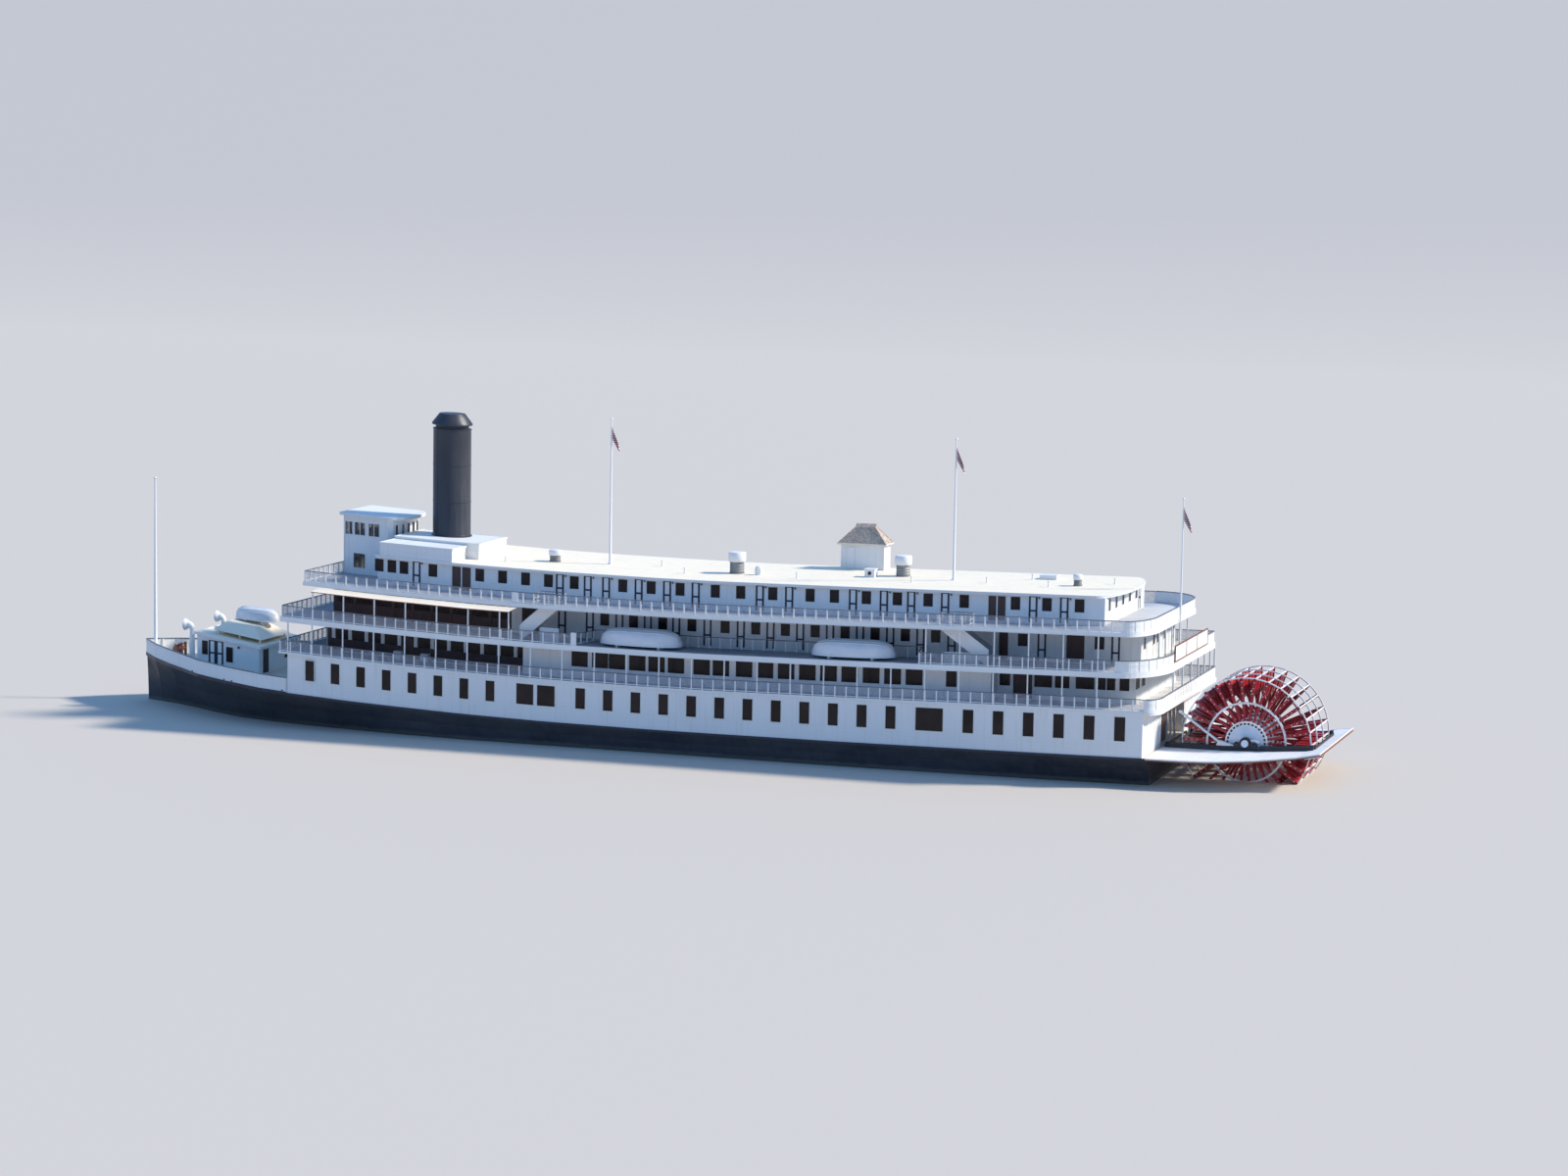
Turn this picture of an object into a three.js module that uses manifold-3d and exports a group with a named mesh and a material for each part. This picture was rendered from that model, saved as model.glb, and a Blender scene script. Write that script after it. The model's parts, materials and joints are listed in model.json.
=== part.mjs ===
// Sternwheel passenger paddle boat, a 1:10 scale model.
// Millimetres of the model, so 100 mm stand for one metre of the real boat.
// Measured from the paddle shaft (x forward), the centreline (y to port) and the waterline (z up).
// The outer group moves all that to the middle of the boat's box, on its flat bottom.
import * as THREE from "three";
import { mergeVertices } from "three/addons/utils/BufferGeometryUtils.js";
import Module from "manifold-3d";

const wasm = await Module();
wasm.setup();

// Driving dimensions
const DRAFT = 230;
const STEM_X = 8150;
const GUARD_AFT_X = -536;
const MIDDLE_X = (STEM_X + GUARD_AFT_X) / 2;
const HALF_BEAM = 884;
const GAP = 0.3;
const PLANK = 14;

// Tops of the decks amidships, where the sheer is lowest
const MAIN_DECK = 169;
const SALOON_DECK = 457;
const OBSERVATION_DECK = 700;
const TEXAS_DECK = 958;
const ROOF = 1158;

// Depth of the upper decks at their edges
const SALOON_DEPTH = 12;
const APRON = 26;
const OBSERVATION_DEPTH = 36;
const TEXAS_DEPTH = 25;

// Sheer: [x, rise of every deck above its lowest place amidships, further rise of the upper works]
const SHEER = [
  [-560, 90, 20], [-400, 62, 20], [-130, 42, 20], [150, 30, 20], [560, 28, 18], [1600, 15, 15], [2600, 5, 8],
  [3600, 0, 0], [4000, 0, 0], [4700, 6, 0], [5300, 20, 0], [5900, 44, 0], [6200, 59, 0], [8200, 168, 0],
];
const UPPER_WORKS = 300;

// Hull sections: [x, half breadth under the guard, at the waterline, of the floor, height of the floor]
const HULL = [
  [545, 860, 730, 640, -40],
  [1100, 882, 775, 700, -165],
  [1600, 882, 800, 740, -230],
  [2600, 882, 826, 770, -230],
  [4000, 882, 812, 765, -230],
  [4700, 882, 810, 760, -230],
  [5300, 882, 806, 735, -230],
  [5900, 882, 760, 660, -230],
  [6200, 880, 720, 600, -230],
  [6630, 866, 655, 500, -230],
  [6855, 836, 605, 430, -230],
  [7150, 735, 515, 330, -230],
  [7440, 605, 360, 200, -230],
  [7620, 465, 245, 110, -228],
  [7790, 342, 150, 50, -222],
  [7990, 176, 62, 16, -205],
  [8130, 34, 12, 8, -180],
];

// Edge of the main deck, port side: [x, half breadth]
const BOW_EDGE = [
  [6200, 884], [6630, 870], [6855, 840], [7150, 739], [7440, 609], [7620, 469], [7790, 346], [7990, 180], [8150, 12],
];
const GUARD_EDGE = [[-536, 602], [-400, 640], [-130, 765], [90, 845], [320, 880], [545, 884]];

// Paddle wheel
const WHEEL_Z = 255;
const WHEEL_RIM = 429;
const WHEEL_FRAMES = [-314, -105, 105, 314];
const WHEEL_FLOATS = 30;
const WHEEL_HUB_RING = 142;
const WHEEL_MIDDLE_RING = [261, 270];
const SHAFT_RADIUS = 20;

// Black timbers beside the wheel, which carry its bearings: half widths
const TIMBER_INNER = 330;
const TIMBER_OUTER = 362;
const TIMBER_HEIGHT = 32;
const WELL_AFT_X = -455;

// Rudders
const RUDDER_STOCK_X = 600;
const RUDDER_Y = [-360, 0, 360];
const RUDDER_STOCK_RADIUS = 9;
const RUDDER_BOSS_Z = -88;

// Pilothouse: its aft wall is a shallow curve
const PILOT = { aft: 6095, fore: 6478, half: 250, wall: 8, curve: 45, sill: 1236, head: 1324, top: 1368 };

// Door in the starboard side of the pilothouse, hinged on its forward edge
const DOOR = { aft: 6196, fore: 6284, foot: 964, head: 1150, play: 3 };
const HINGE = { x: DOOR.fore - 2, y: -PILOT.half - 3, foot: DOOR.foot + 20, head: DOOR.head - 20, radius: 2.5 };

// Funnel on its casing
const FUNNEL_X = 5764;
const FUNNEL_RADIUS = 133;
const CASING_TOP = 1268;

// Railings: the posts that carry the deck above stand at an even pitch, with one more at the fore corner
const RAIL_HEIGHT = 78;
const POST_ROW = { corner: 6613, first: 6430, pitch: 231.5 };
const STERN_POSTS = [420, 147, -110, -330, -526, -704, -850];
const LIFEBOAT_ZONE = { aft: 2080, fore: 4500, rail: 594, turn: 60 };

// Canvas awnings along the forward part of the observation deck
const AWNING = { aft: 4970, fore: 6440, inner: 735, outer: 876, top: 907, fall: 12, thickness: 5.5 };

// Colours and finishes
const paint = (color, roughness = 0.6, metalness = 0) =>
  new THREE.MeshStandardMaterial({ color, roughness, metalness });
const WHITE = paint(0xf1efe9);
const CREAM = paint(0xe9dfc6, 0.7);
const BLACK = paint(0x16181d, 0.5);
const RED = paint(0xa3202c, 0.5);
const BLUE_DECK = paint(0x3f4a63, 0.8);
const GREY_STEEL = paint(0x3a3d42, 0.45, 0.3);
const SHINGLE = paint(0x6f675e, 0.9);
const BROWN = paint(0x5b3a2c, 0.7);

// Basic shapes
function block(x0, x1, y0, y1, z0, z1) {
  const box = new THREE.BoxGeometry(x1 - x0, y1 - y0, z1 - z0);
  return box.translate((x0 + x1) / 2, (y0 + y1) / 2, (z0 + z1) / 2);
}

function plate(outline, z0, z1, holes = []) {
  const vectors = (points) => points.map(([x, y]) => new THREE.Vector2(x, y));
  const shape = new THREE.Shape(vectors(outline));
  shape.holes = holes.map((hole) => new THREE.Path(vectors(hole)));
  return new THREE.ExtrudeGeometry(shape, { depth: z1 - z0, bevelEnabled: false }).translate(0, 0, z0);
}

// A plate that stands along the boat: its outline is in x and z, its thickness in y
const sidePlate = (outline, y0, y1) => plate(outline, -y1, -y0).rotateX(Math.PI / 2);

function rod(from, to, radius, sides = 8) {
  const [start, end] = [new THREE.Vector3(...from), new THREE.Vector3(...to)];
  const along = end.clone().sub(start);
  const turn = new THREE.Quaternion().setFromUnitVectors(new THREE.Vector3(0, 1, 0), along.clone().normalize());
  const middle = start.add(end).multiplyScalar(0.5);
  return new THREE.CylinderGeometry(radius, radius, along.length(), sides)
    .applyQuaternion(turn).translate(middle.x, middle.y, middle.z);
}

// A round piece turned on an upright axis: profile rows are [radius, height], from the bottom up
function turned(profile, sides, x, y) {
  const points = profile.map(([radius, height]) => new THREE.Vector2(radius, height));
  const lathe = new THREE.LatheGeometry(points, sides).rotateX(Math.PI / 2).translate(x, y, 0);
  lathe.deleteAttribute("normal");
  lathe.deleteAttribute("uv");
  return outward(mergeVertices(lathe, 1e-3));
}

// Turns a closed surface so that its faces point out
function outward(geometry) {
  const { position } = geometry.attributes;
  const corner = (i) => new THREE.Vector3().fromBufferAttribute(position, geometry.index.getX(i));
  let volume = 0;
  for (let i = 0; i < geometry.index.count; i += 3) {
    volume += corner(i).dot(corner(i + 1).cross(corner(i + 2)));
  }
  if (volume < 0) geometry.setIndex([...geometry.index.array].reverse());
  return geometry;
}

// Triangles that fill a flat section, turned the way that its points run
function filled(section) {
  const side = (k) => new THREE.Vector3(...section[(k + 1) % section.length]).sub(new THREE.Vector3(...section[k]));
  const normal = new THREE.Vector3();
  section.forEach((point, k) => normal.add(new THREE.Vector3(...point).cross(side(k))));
  const across = side(0).normalize();
  const up = normal.normalize().cross(across);
  const flat = section.map((point) => new THREE.Vector3(...point)).map((p) => new THREE.Vector2(p.dot(across), p.dot(up)));
  return THREE.ShapeUtils.triangulateShape(flat, []);
}

// Skin over sections of equal point counts, closed at both ends
function loft(sections) {
  const count = sections[0].length;
  const last = (sections.length - 1) * count;
  const index = [];
  for (let s = 0; s < sections.length - 1; s += 1) {
    for (let i = 0; i < count; i += 1) {
      const [a, b] = [s * count + i, s * count + ((i + 1) % count)];
      index.push(a, b, b + count, a, b + count, a + count);
    }
  }
  for (const [a, b, c] of filled(sections[0])) index.push(a, c, b);
  for (const [a, b, c] of filled(sections[sections.length - 1])) index.push(last + a, last + b, last + c);
  const geometry = new THREE.BufferGeometry();
  geometry.setAttribute("position", new THREE.Float32BufferAttribute(sections.flat(2), 3));
  geometry.setIndex(index);
  return outward(geometry);
}

// Plan outlines
const mirrored = (port) => [...port.map(([x, y]) => [x, -y]), ...[...port].reverse()];

// Port half of a deck with a rounded corner at each end; the aft corner may be drawn out across the boat
function halfPlan(aft, fore, half, aftRadius, foreRadius, steps = 4, aftSpan = aftRadius) {
  const turns = Array.from({ length: steps + 1 }, (_, i) => (Math.PI / 2) * (i / steps));
  const aftCorner = turns.map((t) => [aft + aftRadius * (1 - Math.cos(t)), half - aftSpan * (1 - Math.sin(t))]);
  const foreCorner = turns.map((t) => [fore - foreRadius * (1 - Math.sin(t)), half - foreRadius * (1 - Math.cos(t))]);
  return [...aftCorner, ...foreCorner];
}

// A path moved sideways to its right by a distance, with mitred corners
function offset(path, distance) {
  const normal = (p, q) => new THREE.Vector2(q[1] - p[1], p[0] - q[0]).normalize();
  return path.map((point, i) => {
    const before = normal(path[Math.max(i - 1, 0)], path[Math.max(i, 1)]);
    const after = normal(path[Math.min(i, path.length - 2)], path[Math.min(i + 1, path.length - 1)]);
    const mitre = before.clone().add(after).normalize();
    mitre.multiplyScalar(distance / mitre.dot(after));
    return [point[0] + mitre.x, point[1] + mitre.y];
  });
}

// A path with points added where the sheer changes
function stationed(path) {
  const result = [path[0]];
  for (let i = 1; i < path.length; i += 1) {
    const [[x0, y0], [x1, y1]] = [path[i - 1], path[i]];
    const stops = SHEER.map(([x]) => (x - x0) / (x1 - x0)).filter((share) => share > 0.01 && share < 0.99);
    stops.sort((a, b) => a - b);
    result.push(...stops.map((share) => [x0 + share * (x1 - x0), y0 + share * (y1 - y0)]), path[i]);
  }
  return result;
}

// An upright band that follows a plan path: its section is a list of [distance to the right, height]
function band(path, section) {
  const route = stationed(path);
  const sides = section.map(([distance]) => offset(route, distance));
  return loft(route.map((_, i) => section.map(([, z], k) => [...sides[k][i], z])));
}
const ribbon = (path, near, far, z0, z1) => band(path, [[near, z0], [far, z0], [far, z1], [near, z1]]);

// A level slab between a port and a starboard edge, each drawn from aft to fore
function deckSlab({ port, starboard }, z0, z1) {
  const halfAt = (edge, x) => {
    const next = Math.max(1, edge.findIndex((point) => point[0] >= x - 0.01));
    const [[xa, ya], [xb, yb]] = [edge[next - 1], edge[next]];
    return x <= xa ? ya : ya + ((x - xa) / (xb - xa)) * (yb - ya);
  };
  const stations = [...stationed(port), ...stationed(starboard)].map(([x]) => Math.round(x * 10) / 10);
  const sections = [...new Set(stations)].sort((a, b) => a - b).map((x) => {
    const [left, right] = [halfAt(port, x), -halfAt(starboard, x)];
    return [[x, right, z0], [x, left, z0], [x, left, z1], [x, right, z1]];
  });
  return loft(sections);
}

// A level slab over the whole breadth of the boat, from its port edge
function slab(portEdge, z0, z1, shares = [-1, 1]) {
  const sections = stationed(portEdge).map(([x, half]) => [
    ...shares.map((share) => [x, share * half, z0]),
    ...[...shares].reverse().map((share) => [x, share * half, z1]),
  ]);
  return loft(sections);
}

// Joining and cutting
function solid(geometry) {
  const clean = geometry.clone();
  clean.deleteAttribute("normal");
  clean.deleteAttribute("uv");
  const merged = mergeVertices(clean, 1e-3);
  const vertProperties = new Float32Array(merged.attributes.position.array);
  const triVerts = new Uint32Array(merged.index.array);
  return new wasm.Manifold(new wasm.Mesh({ numProp: 3, vertProperties, triVerts }));
}

function surface(body) {
  const { vertProperties, triVerts } = body.getMesh();
  const geometry = new THREE.BufferGeometry();
  geometry.setAttribute("position", new THREE.BufferAttribute(new Float32Array(vertProperties), 3));
  geometry.setIndex(new THREE.BufferAttribute(new Uint32Array(triVerts), 1));
  return geometry;
}

const sum = (pieces) => pieces.slice(1).reduce((whole, piece) => whole.add(solid(piece)), solid(pieces[0]));
const joined = (pieces) => surface(sum(pieces));
const cut = (pieces, holes) => surface(sum(pieces).subtract(sum(holes)));

// Value of a table's column at a place between its rows
const between = (table, at, column = 1) => {
  const i = Math.min(Math.max(table.findIndex(([place]) => place > at), 1), table.length - 1);
  const [low, high] = [table[i - 1], table[i]];
  return low[column] + ((high[column] - low[column]) * (at - low[0])) / (high[0] - low[0]);
};
const rise = (x) => between(SHEER, x);
const lift = (x, z) => rise(x) + (z > UPPER_WORKS ? between(SHEER, x, 2) : 0);

// Sheer: every triangle is split where the table has a row, then lifted
function sheered(geometry) {
  const source = surface(solid(geometry));
  const points = Array.from({ length: source.attributes.position.count }, (_, i) =>
    [0, 1, 2].map((k) => source.attributes.position.getComponent(i, k)));
  let triangles = Array.from({ length: source.index.count / 3 }, (_, i) =>
    [0, 1, 2].map((k) => source.index.getX(3 * i + k)));
  for (const [place] of SHEER) {
    const side = points.map((p) => (Math.abs(p[0] - place) < 1e-3 ? 0 : Math.sign(p[0] - place)));
    const cuts = new Map();
    const crossing = (a, b) => {
      const key = a < b ? `${a} ${b}` : `${b} ${a}`;
      if (!cuts.has(key)) {
        const [low, high] = a < b ? [points[a], points[b]] : [points[b], points[a]];
        const share = (place - low[0]) / (high[0] - low[0]);
        cuts.set(key, points.push(low.map((value, k) => value + share * (high[k] - value))) - 1);
      }
      return cuts.get(key);
    };
    triangles = triangles.flatMap((triangle) => {
      if (!triangle.some((v) => side[v] < 0) || !triangle.some((v) => side[v] > 0)) return [triangle];
      const lone = triangle.findIndex((v, i) =>
        side[v] !== 0 && side[v] !== side[triangle[(i + 1) % 3]] && side[v] !== side[triangle[(i + 2) % 3]]);
      const onPlane = triangle.findIndex((v) => side[v] === 0);
      if (onPlane >= 0) {
        const [o, p, q] = [0, 1, 2].map((k) => triangle[(onPlane + k) % 3]);
        const m = crossing(p, q);
        return [[o, p, m], [o, m, q]];
      }
      const [l, p, q] = [0, 1, 2].map((k) => triangle[(lone + k) % 3]);
      const [m, n] = [crossing(l, p), crossing(l, q)];
      return [[l, m, n], [m, p, q], [m, q, n]];
    });
  }
  const lifted = points.map(([x, y, z]) => [x, y, z + lift(x, z)]);
  const result = new THREE.BufferGeometry();
  result.setAttribute("position", new THREE.Float32BufferAttribute(lifted.flat(), 3));
  result.setIndex(triangles.flat());
  return result;
}

// The assembly
const boat = new THREE.Group();
boat.position.set(-MIDDLE_X, 0, DRAFT);

function place(name, material, geometry) {
  const mesh = new THREE.Mesh(geometry, material.clone());
  mesh.name = name;
  boat.add(mesh);
}
const placeSheered = (name, material, geometry) => place(name, material, sheered(geometry));

// Hull: flat floor, soft bilge, flared guard sponsons
function hullSection([x, guardHalf, waterHalf, floorHalf, floorZ]) {
  const top = MAIN_DECK - PLANK - GAP + rise(x);
  const bilge = floorZ + 0.3 * (0 - floorZ) + 4;
  const port = [[floorHalf, floorZ], [(0.35 * floorHalf + 0.65 * waterHalf), bilge], [waterHalf, 0],
    [0.6 * waterHalf + 0.4 * guardHalf, 0.55 * top], [guardHalf, top]];
  return [...port.map(([y, z]) => [x, y, z]), ...[...port].reverse().map(([y, z]) => [x, -y, z])];
}
const hullStations = () => {
  const rows = HULL.map((row) => [...row]);
  for (const [x] of SHEER) {
    if (x > HULL[0][0] && x < HULL[HULL.length - 1][0] && !rows.some((row) => row[0] === x)) {
      const columns = [1, 2, 3, 4].map((k) => between(HULL.map((row) => [row[0], row[k]]), x));
      rows.push([x, ...columns]);
    }
  }
  return rows.sort((a, b) => a[0] - b[0]);
};
const rudderBosses = RUDDER_Y.map((y) =>
  new THREE.CylinderGeometry(15, 15, 60, 16).rotateX(Math.PI / 2).translate(RUDDER_STOCK_X, y, RUDDER_BOSS_Z + 30));
place("hull", BLACK, joined([loft(hullStations().map(hullSection)), ...rudderBosses]));

// Main deck with its guards, and the fantail round the wheel
placeSheered("main_deck", CREAM, slab([[545, HALF_BEAM], ...BOW_EDGE], MAIN_DECK - PLANK, MAIN_DECK));
for (const [side, sign] of [["port", 1], ["starboard", -1]]) {
  const wing = [...GUARD_EDGE.slice(1, -1), [545 - GAP, HALF_BEAM], [545 - GAP, TIMBER_INNER], [WELL_AFT_X, TIMBER_INNER],
    [WELL_AFT_X, 622]];
  placeSheered(`fantail_${side}`, CREAM, plate(wing.map(([x, y]) => [x, sign * y]), MAIN_DECK - PLANK, MAIN_DECK));
}
placeSheered("fantail_beam", CREAM,
  plate(mirrored([[GUARD_AFT_X, 602], [WELL_AFT_X - GAP, 621]]), MAIN_DECK - PLANK - 8, MAIN_DECK));
placeSheered("bow_bulwark", WHITE, ribbon(
  [...BOW_EDGE.slice(1).map(([x, y]) => [x, -y]), ...BOW_EDGE.slice(1).reverse()], -10, -1,
  MAIN_DECK + GAP, MAIN_DECK + 103));

// Black timbers with the wheel's bearings, braces and deck stands
const deckAt = (x) => MAIN_DECK + rise(x);
for (const [side, sign] of [["port", 1], ["starboard", -1]]) {
  const [inner, outer] = [TIMBER_INNER, TIMBER_OUTER].map((y) => sign * y);
  const [y0, y1] = [Math.min(inner, outer), Math.max(inner, outer)];
  const middle = (y0 + y1) / 2;
  const timber = sheered(block(WELL_AFT_X + 5, 530, y0, y1, MAIN_DECK + GAP, MAIN_DECK + TIMBER_HEIGHT));
  const pedestal = block(-45, 45, y0, y1, deckAt(0) + 10, WHEEL_Z);
  const bearing = new THREE.CylinderGeometry(34, 34, y1 - y0, 20).translate(0, middle, WHEEL_Z);
  const brace = rod([430, middle, 432], [135, middle, deckAt(135) + TIMBER_HEIGHT - 6], 7, 8);
  const bore = new THREE.CylinderGeometry(SHAFT_RADIUS + 0.6, SHAFT_RADIUS + 0.6, 60, 24).translate(0, middle, WHEEL_Z);
  place(`wheel_timber_${side}`, BLACK, cut([timber, pedestal, bearing, brace], [bore]));
}

// Paddle wheel: four frames of hub, arms and rim, with the floats between the arms' ends
const spun = (radius, turn) => [radius * Math.cos(turn), radius * Math.sin(turn)];
function wheelFrame(y, bands) {
  const pitch = (2 * Math.PI) / WHEEL_FLOATS;
  const armHalf = (radius) => 4 / radius;
  const arms = Array.from({ length: WHEEL_FLOATS }, (_, i) => i * pitch);
  const windows = arms.flatMap((turn) => bands.map(([low, high]) => [
    spun(low, turn + armHalf(low)), spun(high, turn + armHalf(high)),
    spun(high, turn + pitch - armHalf(high)), spun(low, turn + pitch - armHalf(low)),
  ]));
  return plate(arms.map((turn) => spun(WHEEL_RIM, turn)), -4, 4, windows).rotateX(Math.PI / 2).translate(0, y, 0);
}
const innerFrame = [[WHEEL_HUB_RING, WHEEL_RIM - 12]];
const outerFrame = [[WHEEL_HUB_RING, WHEEL_MIDDLE_RING[0]], [WHEEL_MIDDLE_RING[1], WHEEL_RIM - 12]];
const wheelPieces = [
  new THREE.CylinderGeometry(SHAFT_RADIUS, SHAFT_RADIUS, 2 * TIMBER_OUTER, 24),
  ...WHEEL_FRAMES.map((y, i) => wheelFrame(y, i % 3 === 0 ? outerFrame : innerFrame)),
];
for (let i = 0; i < WHEEL_FLOATS; i += 1) {
  const float = block(WHEEL_RIM - 119, WHEEL_RIM - 8, -316, 316, -2.5, 2.5);
  wheelPieces.push(float.rotateY(-(2 * Math.PI * i) / WHEEL_FLOATS));
}
place("paddle_wheel", RED, joined(wheelPieces).translate(0, 0, WHEEL_Z));

// Rudders under the raked stern
RUDDER_Y.forEach((y, i) => {
  const name = ["rudder_starboard", "rudder_centre", "rudder_port"][i];
  const blade = sidePlate([[445, -100], [690, -100], [690, -215], [460, -215]], y - 4, y + 4);
  const stock = new THREE.CylinderGeometry(RUDDER_STOCK_RADIUS, RUDDER_STOCK_RADIUS, 120, 16)
    .rotateX(Math.PI / 2).translate(RUDDER_STOCK_X, y, RUDDER_BOSS_Z - GAP - 60);
  place(name, BLACK, joined([blade, stock]));
});

// Deck houses; the main house has a porch between columns in its aft wall
const houseBody = (outline, z0, z1) => slab(outline, z0 + GAP, z1 - GAP);
const porch = block(560, 700, -350, 350, MAIN_DECK - 1, SALOON_DECK - SALOON_DEPTH - 14);
const columns = [-115, 0, 115].map((y) => block(571, 583, y - 6, y + 6, MAIN_DECK + GAP, SALOON_DECK - SALOON_DEPTH - 10));
placeSheered("main_house", WHITE, surface(
  sum([houseBody([[565, 880], [6200, 880], [6620, 864]], MAIN_DECK, SALOON_DECK - SALOON_DEPTH)])
    .subtract(solid(porch)).add(sum([columns[0]])).add(solid(columns[1])).add(solid(columns[2]))));
placeSheered("saloon_house", WHITE, houseBody(
  [[680, 585], [1618, 585], [1622, 730], [4922, 730], [4926, 587], [6450, 587]], SALOON_DECK,
  OBSERVATION_DECK - OBSERVATION_DEPTH));
placeSheered("observation_house", WHITE, houseBody([[675, 500], [6440, 500]], OBSERVATION_DECK, TEXAS_DECK - TEXAS_DEPTH));
placeSheered("texas_house", WHITE, houseBody([[910, 560], [6080, 560]], TEXAS_DECK, ROOF - PLANK));

// Forecastle house, whose roof runs up towards the bow: rows are [x, half breadth, height of the roof]
const FORECASTLE = [[7100, 320, 371], [7590, 310, 421]];
const wedge = (rows, foot, drop) => loft(rows.map(([x, half, top]) =>
  [[x, -half, foot ?? top - PLANK], [x, half, foot ?? top - PLANK], [x, half, top - drop], [x, -half, top - drop]]));
placeSheered("forecastle_house", WHITE, wedge(FORECASTLE, MAIN_DECK + GAP, PLANK + GAP));

// Upper decks and the roof
const DECKS = {
  saloon: { top: SALOON_DECK, depth: SALOON_DEPTH,
    port: halfPlan(460, 6680, HALF_BEAM, 90, 4, 4, 150), starboard: halfPlan(460, 6680, HALF_BEAM, 30, 4) },
  observation: { top: OBSERVATION_DECK, depth: OBSERVATION_DEPTH,
    port: halfPlan(472, 6670, 874, 278, 4, 6, 450), starboard: halfPlan(472, 6670, 874, 30, 4, 6) },
  texas: { top: TEXAS_DECK, depth: TEXAS_DEPTH,
    port: halfPlan(545, 6500, 870, 160, 4, 4, 320), starboard: halfPlan(545, 6500, 870, 350, 4, 5, 380) },
};
const sternEdge = ({ port, starboard }) => {
  const aftCorner = (edge) => edge.slice(0, edge.length / 2);
  return [...aftCorner(starboard).map(([x, y]) => [x, -y]).reverse(), ...aftCorner(port)];
};
const apron = ribbon(sternEdge(DECKS.saloon), 0, 8, SALOON_DECK - APRON, SALOON_DECK - SALOON_DEPTH + 1);
placeSheered("saloon_deck", BLUE_DECK,
  joined([deckSlab(DECKS.saloon, SALOON_DECK - SALOON_DEPTH, SALOON_DECK), apron]));
placeSheered("observation_deck", BLUE_DECK,
  deckSlab(DECKS.observation, OBSERVATION_DECK - OBSERVATION_DEPTH, OBSERVATION_DECK));

// Stairs between the observation and texas decks: [x at the foot, x at the head]. Boards close their sides from
// below the treads up to the handrail.
const STAIRS = [[4921, 4633], [1623, 1974]];
const STAIR = { inner: 705, outer: 795, board: 5, depth: 14, rise: 104, treads: 10 };
function stair([foot, head], sign) {
  const [low, high] = [OBSERVATION_DECK + GAP, TEXAS_DECK - 4];
  const along = Math.sign(head - foot);
  const at = (share) => [foot + share * (head - foot), low + share * (high - low)];
  const end = head + 3 * along;
  const outline = [at(0), [foot, low + STAIR.rise], [at(1 - STAIR.rise / (high - low))[0], high], [end, high],
    [end, high - STAIR.depth], [at(STAIR.depth / (high - low))[0], low]];
  const boards = [STAIR.inner, STAIR.outer - STAIR.board].map((y) =>
    sidePlate(outline, ...[sign * y, sign * (y + STAIR.board)].sort((a, b) => a - b)));
  const sides = [sign * (STAIR.inner + 1), sign * (STAIR.outer - 1)].sort((a, b) => a - b);
  const treads = Array.from({ length: STAIR.treads }, (_, i) => {
    const [x, z] = at((i + 1) / (STAIR.treads + 1));
    return block(x - 2 * along - 9, x - 2 * along + 9, ...sides, z - 10, z - 7);
  });
  return [...boards, ...treads];
}
const sides = [1, -1];
const hatches = STAIRS.flatMap(([foot, head]) => sides.map((sign) => {
  const across = [sign * (STAIR.inner - 8), sign * (STAIR.outer + 8)].sort((a, b) => a - b);
  const far = head + 0.62 * (foot - head);
  return block(Math.min(head, far), Math.max(head, far), ...across, TEXAS_DECK - 60, TEXAS_DECK + 10);
}));
const texas = DECKS.texas;
const flights = STAIRS.flatMap((flight) => sides.flatMap((sign) => stair(flight, sign)));
placeSheered("texas_deck", WHITE, surface(
  sum([deckSlab(texas, texas.top - texas.depth, texas.top)]).subtract(sum(hatches)).add(sum(flights))));
placeSheered("roof", CREAM, slab(halfPlan(830, 6088, 590, 150, 30, 6, 560), ROOF - PLANK, ROOF));

// Roof of the forecastle house with a low cover on short posts
const coverEave = [[7120, 240, 0], [7500, 240, 0], [7500, -240, 0], [7120, -240, 0]];
const coverTop = [[7220, 130, 55], [7450, 130, 55], [7450, -130, 55], [7220, -130, 55]];
const onForecastle = (x) => between(FORECASTLE, x, 2);
const cover = loft([coverEave, coverTop].map((ring) => ring.map(([x, y, z]) => [x, y, onForecastle(x) + 30 + z])));
const coverPosts = [7150, 7310, 7470].flatMap((x) => [-200, 200].map((y) =>
  block(x - 6, x + 6, y - 6, y + 6, onForecastle(x) - 6, onForecastle(x) + 34)));
const forecastleRoof = wedge(FORECASTLE.map(([x, half, top], i) => [x + (i ? 15 : -15), half + 14, top + (i ? 1.5 : -1.5)]),
  undefined, 0);
placeSheered("forecastle_roof", WHITE, joined([forecastleRoof, ...coverPosts, cover]));

// Railings: two rails and a mesh panel, with the posts that carry the deck above
function railing(path, top) {
  const [foot, head] = [top + GAP, top + RAIL_HEIGHT];
  return band(path, [[6, foot], [14, foot], [14, foot + 6], [11, foot + 6], [11, head - 6], [14, head - 6],
    [14, head], [6, head], [6, head - 6], [9, head - 6], [9, foot + 6], [6, foot + 6]]);
}
const POST_PLACES = [POST_ROW.corner, ...Array.from({ length: 26 }, (_, i) => POST_ROW.first - i * POST_ROW.pitch)];
const postRow = (from, to) => POST_PLACES.filter((x) => x > from && x < to);
const posts = (places, half, z0, z1) => places.map((x) =>
  block(x - 4, x + 4, Math.min(half - 14 * Math.sign(half), half - 6 * Math.sign(half)),
    Math.max(half - 14 * Math.sign(half), half - 6 * Math.sign(half)), z0 + GAP, z1 - GAP));
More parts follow.
